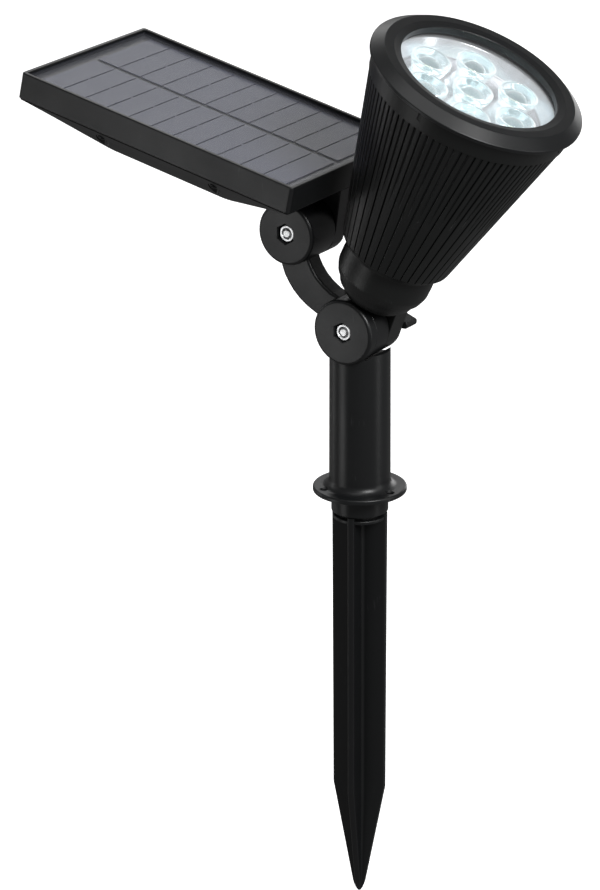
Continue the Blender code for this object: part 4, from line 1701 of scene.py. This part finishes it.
    def build_housing(self) -> None:
        """Builds the housing: one skin outside and inside, the lug, and the notches in the band."""
        housing = Shape.lofted(self.neck_rings() + self.ribbed_rings() + self.mouth_rings())
        lug = [
            *arc(self.lug_r, 180, 360, 60),
            (self.lug_r - 0.6, 5.0),
            (12.4, self.base_z + 1.0),
            (-12.4, self.base_z + 1.0),
            (0.6 - self.lug_r, 5.0),
        ]
        housing.joined(Shape.plate(lug, self.lug_front, self.lug_back, 0.4, 0.8))
        hole = Shape.disc(HARDWARE.hole_r, 0, 20, segments=COARSE).placed(Y_AXIS)
        housing.cut(hole, HARDWARE.groove(self.lug_front))
        outline = box_line(self.band_bore_r + 0.9, 48.0, self.notch_half, 0.2)
        for index in range(self.notch_count):
            turn = self.notch_start + 2 * pi * index / self.notch_count
            notch = Shape.pulled(outline, self.groove_floor + 1.4, self.band_top + 1.6)
            housing.cut(notch.placed(Matrix.Rotation(turn, 4, "Z")))
        housing.finished("lamp_housing_piece", RIBBED_ABS, LAMP, Body.LAMP, ["lamp_housing"], Slot.ABS)

    def build_bezel(self) -> None:
        """Builds the screwed-on front ring."""
        shoulder = self.spigot_top + 4 * GAP + REFLECTOR_T + GASKET_T + LENS_COVER_T
        inner = self.spigot_r + GAP
        skirt_r, skirt_z = self.band_bore_r - GAP, self.groove_floor + GAP
        edge = self.band_top + GAP
        corners = [
            (inner, skirt_z, 0.2),
            (skirt_r, skirt_z, 0.2),
            (skirt_r, edge),
            (self.bezel_r - 0.1, edge, 0.45),
            (self.bezel_r, 128.2, 0.6),
            (42.4, self.bezel_top, 0.7),
            (38.2, self.bezel_top, 1.2),
            (self.opening_r, 131.0, 0.5),
            (self.opening_r + 0.2, shoulder, 0.15),
            (inner, shoulder),
        ]
        bezel = Shape.turned(rounded(corners, 5), self.bezel_segments)
        bezel.finished("bezel_piece", SATIN_ABS, LAMP, Body.LAMP, ["bezel"], Slot.ABS)


@dataclass
class Optics:
    """Reflector bowl, seven collimators over their emitters, cover lens and boards, in the lamp's frame."""

    ring_count: int = 6
    ring_r: float = 22.5
    lens_r: float = 8.8
    foot_r: float = 3.2
    foot_z: float = 111.8
    top_z: float = 125.0
    rim_h: float = 1.6
    flank_steps: int = 8
    flank_power: float = 0.86
    floor: float = 117.0
    skin: float = REFLECTOR_T
    flange_z: float = 123.7
    disc_r: float = 41.7
    cover_z: float = 126.1
    cover_t: float = LENS_COVER_T

    def build(self) -> None:
        """Builds the optics and dresses what lies under them."""
        angles = [2 * pi / self.ring_count * i for i in range(self.ring_count)]
        spots = [(0.0, 0.0)] + [(self.ring_r * cos(a), self.ring_r * sin(a)) for a in angles]
        self.build_reflector(spots)
        for number, (x, y) in enumerate(spots, 1):
            self.build_collimator(number, x, y)
            dress(f"led_{number}", PHOSPHOR)
        cover = Shape.disc(self.disc_r, self.cover_z, self.cover_z + self.cover_t, (0.2, 0.3), segments=FINE)
        cover.finished("lens_cover_piece", LENS_SHEET, LAMP, Body.LAMP, ["lens_cover"], Slot.CLEAR)
        dress("led_board", WHITE_BOARD)
        dress("lens_gasket", RUBBER)

    def window(self) -> float:
        """The radius of the reflector's hole round a collimator."""
        slope = (self.lens_r - self.foot_r) / (self.top_z - self.rim_h - self.foot_z)
        return self.foot_r + slope * (self.floor + self.skin - self.foot_z) + GAP

    def build_reflector(self, spots: Sequence[Point]) -> None:
        """Builds the bowl with a window for each collimator.

        Args:
            spots: the middles of the windows, the first one on the axis.
        """
        window = self.window()
        corners = [
            (window, self.floor),
            (33.0, self.floor),
            (34.2, self.floor + 0.6, 1.0),
            (37.4, self.flange_z),
            (self.disc_r, self.flange_z, 0.1),
            (self.disc_r, self.flange_z + self.skin, 0.1),
            (36.6, self.flange_z + self.skin, 0.4),
            (33.2, self.floor + self.skin, 1.4),
            (window, self.floor + self.skin),
        ]
        bowl = Shape.turned(rounded(corners, 5), FINE)
        for x, y in spots[1:]:
            bowl.cut(Shape.disc(window, self.floor - 1, self.floor + 2, segments=MEDIUM).moved(x=x, y=y))
        bowl.finished("reflector_piece", SILVER, LAMP, Body.LAMP, ["reflector"], Slot.SILVER)

    def build_collimator(self, number: int, x: float, y: float) -> None:
        """Builds one collimator: curved flank, stepped rim, sunk front and a middle lens.

        Args:
            number: its number in the row.
            x: its place across the lamp.
            y: its place along the tilt axis.
        """
        flank: list[Point] = []
        for step in range(self.flank_steps + 1):
            share = step / self.flank_steps
            radius = self.foot_r + (self.lens_r - self.foot_r) * share ** self.flank_power
            flank.append((radius, self.foot_z + (self.top_z - self.rim_h - self.foot_z) * share))
        outline: list[Point] = [(0, self.foot_z + 2.6), (1.2, self.foot_z + 2.2), (2.2, self.foot_z + 0.9)]
        outline += [(self.foot_r - 0.5, self.foot_z)] + flank
        outline += [
            (self.lens_r, self.top_z - 0.2),
            (self.lens_r - 0.2, self.top_z),
            (self.lens_r - 1.1, self.top_z),
            (self.lens_r - 1.4, self.top_z - 0.3),
            (self.lens_r - 2.2, self.top_z - 2.6),
            (5.2, self.top_z - 3.2),
            (4.6, self.top_z - 2.2),
            (3.6, self.top_z - 1.2),
            (2.0, self.top_z - 0.6),
            (0, self.top_z - 0.4),
        ]
        name = f"collimator_{number}"
        made = Shape.turned(outline, MEDIUM).moved(x=x, y=y)
        made.finished(f"{name}_piece", OPTIC, LAMP, Body.LAMP, [name], Slot.CLEAR)


# -------------------------------------------------------------------------------------------- knobs


@dataclass
class WingKnob:
    """A wing knob behind a joint, with its stud, in the joint's own frame."""

    side: str
    body: Body
    place: Matrix
    back: float
    hub_r: float = 7.6
    hub_t: float = 9.0
    tip_r: float = 15.4
    root_half: float = 3.8
    tip_half: float = 1.3
    rise: float = 2.6
    wing_step: float = 1.5
    root_r: float = 6.2
    angle: float = radians(9.0)

    def build(self) -> None:
        """Builds the knob and its stud."""
        front = self.back + GAP
        high = front + self.hub_t
        hub = rounded(
            [
                (HARDWARE.hole_r, front),
                (self.hub_r, front, 0.6),
                (self.hub_r - 0.6, high - 1.0, 1.0),
                (self.hub_r - 2.2, high, 0.8),
                (3.2, high, 0.4),
                (2.8, high - 0.5, 0.3),
                (0, high - 0.5),
                (0, high - 2),
                (HARDWARE.hole_r, high - 2),
            ]
        )
        knob = Shape.turned(hub, MEDIUM).placed(Y_AXIS)
        wing = rounded(
            [
                (HARDWARE.hole_r + 1, -self.root_half),
                (self.tip_r, -self.tip_half, 1.2),
                (self.tip_r, self.tip_half, 1.2),
                (HARDWARE.hole_r + 1, self.root_half),
            ]
        )
        top = high - self.wing_step
        wide = self.hub_r + 1.4
        for turn in (0.0, pi):
            blade = Shape.plate(wing, front + self.wing_step, top + self.rise, 0.5, 0.9)
            root = [(-1, -wide), (self.root_r, -wide), (self.root_r, wide), (-1, wide)]
            blade.cut(Shape.plate(root, top - 0.3, top + self.rise + 2))
            knob.joined(blade.placed(Matrix.Rotation(self.angle + turn, 4, "Y")))
        name = f"{self.side}_knob"
        knob.finished(f"{name}_piece", KNOB_NYLON, self.place, self.body, [name], Slot.NYLON)
        HARDWARE.stud(f"{self.side}_stud", high - 2 - GAP, self.place, self.body)


# ------------------------------------------------------------------------------------------- studio


@dataclass
class Softbox:
    """One large rectangular light, named for where it stands, in metres and watts."""

    name: str
    towards: Point3
    distance: float
    width: float
    height: float
    power: float

    def build(self, aim: Vector) -> None:
        """Makes the light.

        Args:
            aim: the point that it is turned to.
        """
        data = bpy.data.lights.new(self.name, "AREA")
        data.shape = "RECTANGLE"
        data.size = self.width
        data.size_y = self.height
        data.energy = self.power
        made = bpy.data.objects.new(self.name, data)
        direction = Vector(self.towards).normalized()
        made.location = aim + direction * self.distance
        made.rotation_mode = "QUATERNION"
        made.rotation_quaternion = direction.to_track_quat("Z", "Y")
        bpy.context.scene.collection.objects.link(made)


@dataclass
class Studio:
    """Pale floor, soft lights and the camera, in metres."""

    floor_z: float = -0.1945
    floor_size: float = 60.0
    floor_glow: float = 0.9
    backdrop: Colour = (1.0, 1.0, 1.0)
    ambient: float = 0.16
    aim: Point3 = (0.0, 0.0, 0.1)
    camera_at: Point3 = (0.8545, -1.3589, 0.6174)
    camera_along: Point3 = (-0.5117, 0.7853, -0.3486)
    camera_roll: float = radians(-0.24)
    focal: float = 159.94
    sensor: float = 36.0
    clip_end: float = 200.0

    def build(self) -> None:
        """Builds the studio."""
        self.build_floor()
        self.build_world()
        self.build_camera()
        aim = Vector(self.aim)
        for light in (
            Softbox("key_softbox", (0.74, -0.32, 0.60), 1.3, 0.40, 0.50, 13.0),
            Softbox("top_softbox", (0.10, -0.20, 1.00), 1.4, 0.8, 0.8, 3.0),
            Softbox("rear_softbox", (-0.50, 0.70, 0.51), 1.5, 0.6, 0.6, 1.9),
            Softbox("front_softbox", (-0.56, -0.77, -0.31), 1.3, 0.4, 0.5, 1.3),
            Softbox("back_softbox", (-0.15, 0.98, 0.05), 1.6, 0.8, 0.8, 4.0),
            Softbox("left_strip", (-0.98, -0.15, 0.05), 1.3, 0.20, 1.2, 1.5),
            Softbox("right_strip", (0.95, 0.25, 0.05), 1.3, 0.25, 1.2, 2.4),
        ):
            light.build(aim)

    def build_floor(self) -> None:
        """Builds the plain pale floor."""
        sheet = Sheet("pale_paper")
        fibre = sheet.noise(sheet.place(), 2.0, 2.0, 0.5)
        colour = sheet.mixed(fibre, (0.90, 0.90, 0.90), (0.93, 0.93, 0.93))
        paper = {"Base Color": colour, "Roughness": 0.9, "Specular IOR Level": 0.1}
        glow = {"Emission Color": self.backdrop, "Emission Strength": self.floor_glow}
        surface = sheet.done(sheet.shader(paper | glow))
        bm = bmesh.new()
        bmesh.ops.create_grid(bm, x_segments=1, y_segments=1, size=self.floor_size / 2)
        mesh = bpy.data.meshes.new("floor")
        bm.to_mesh(mesh)
        bm.free()
        mesh.materials.append(surface)
        floor = bpy.data.objects.new("floor", mesh)
        floor.location.z = self.floor_z
        floor.visible_glossy = False
        floor.visible_diffuse = False
        floor.visible_transmission = False
        bpy.context.scene.collection.objects.link(floor)

    def build_world(self) -> None:
        """Makes the even light all round."""
        world = bpy.data.worlds.new("studio")
        world.use_nodes = True
        background = world.node_tree.nodes["Background"]
        background.inputs["Color"].default_value = (*self.backdrop, 1.0)
        background.inputs["Strength"].default_value = self.ambient
        bpy.context.scene.world = world
        bpy.context.scene.view_settings.view_transform = "Standard"
        bpy.context.scene.view_settings.look = "None"

    def build_camera(self) -> None:
        """Makes the camera."""
        data = bpy.data.cameras.new("camera")
        data.lens = self.focal
        data.sensor_width = self.sensor
        data.clip_end = self.clip_end
        made = bpy.data.objects.new("camera", data)
        made.location = self.camera_at
        made.rotation_mode = "QUATERNION"
        turn = Vector(self.camera_along).to_track_quat("-Z", "Y")
        made.rotation_quaternion = turn @ Quaternion((0, 0, 1), self.camera_roll)
        bpy.context.scene.collection.objects.link(made)
        bpy.context.scene.camera = made


def main() -> None:
    """Builds every sub-assembly in turn, then the studio, and logs each piece's faces and body."""
    logging.basicConfig(level=logging.INFO, format="%(message)s")
    PoleAndSpike().build()
    Arm().build()
    SolarPanel().build()
    LampHead().build()
    Optics().build()
    WingKnob("lower", Body.LOWER_KNOB, LOWER, 12.0).build()
    WingKnob("upper", Body.UPPER_KNOB, UPPER, 13.1).build()
    Studio().build()
    bpy.context.view_layer.update()


if __name__ == "__main__":
    main()
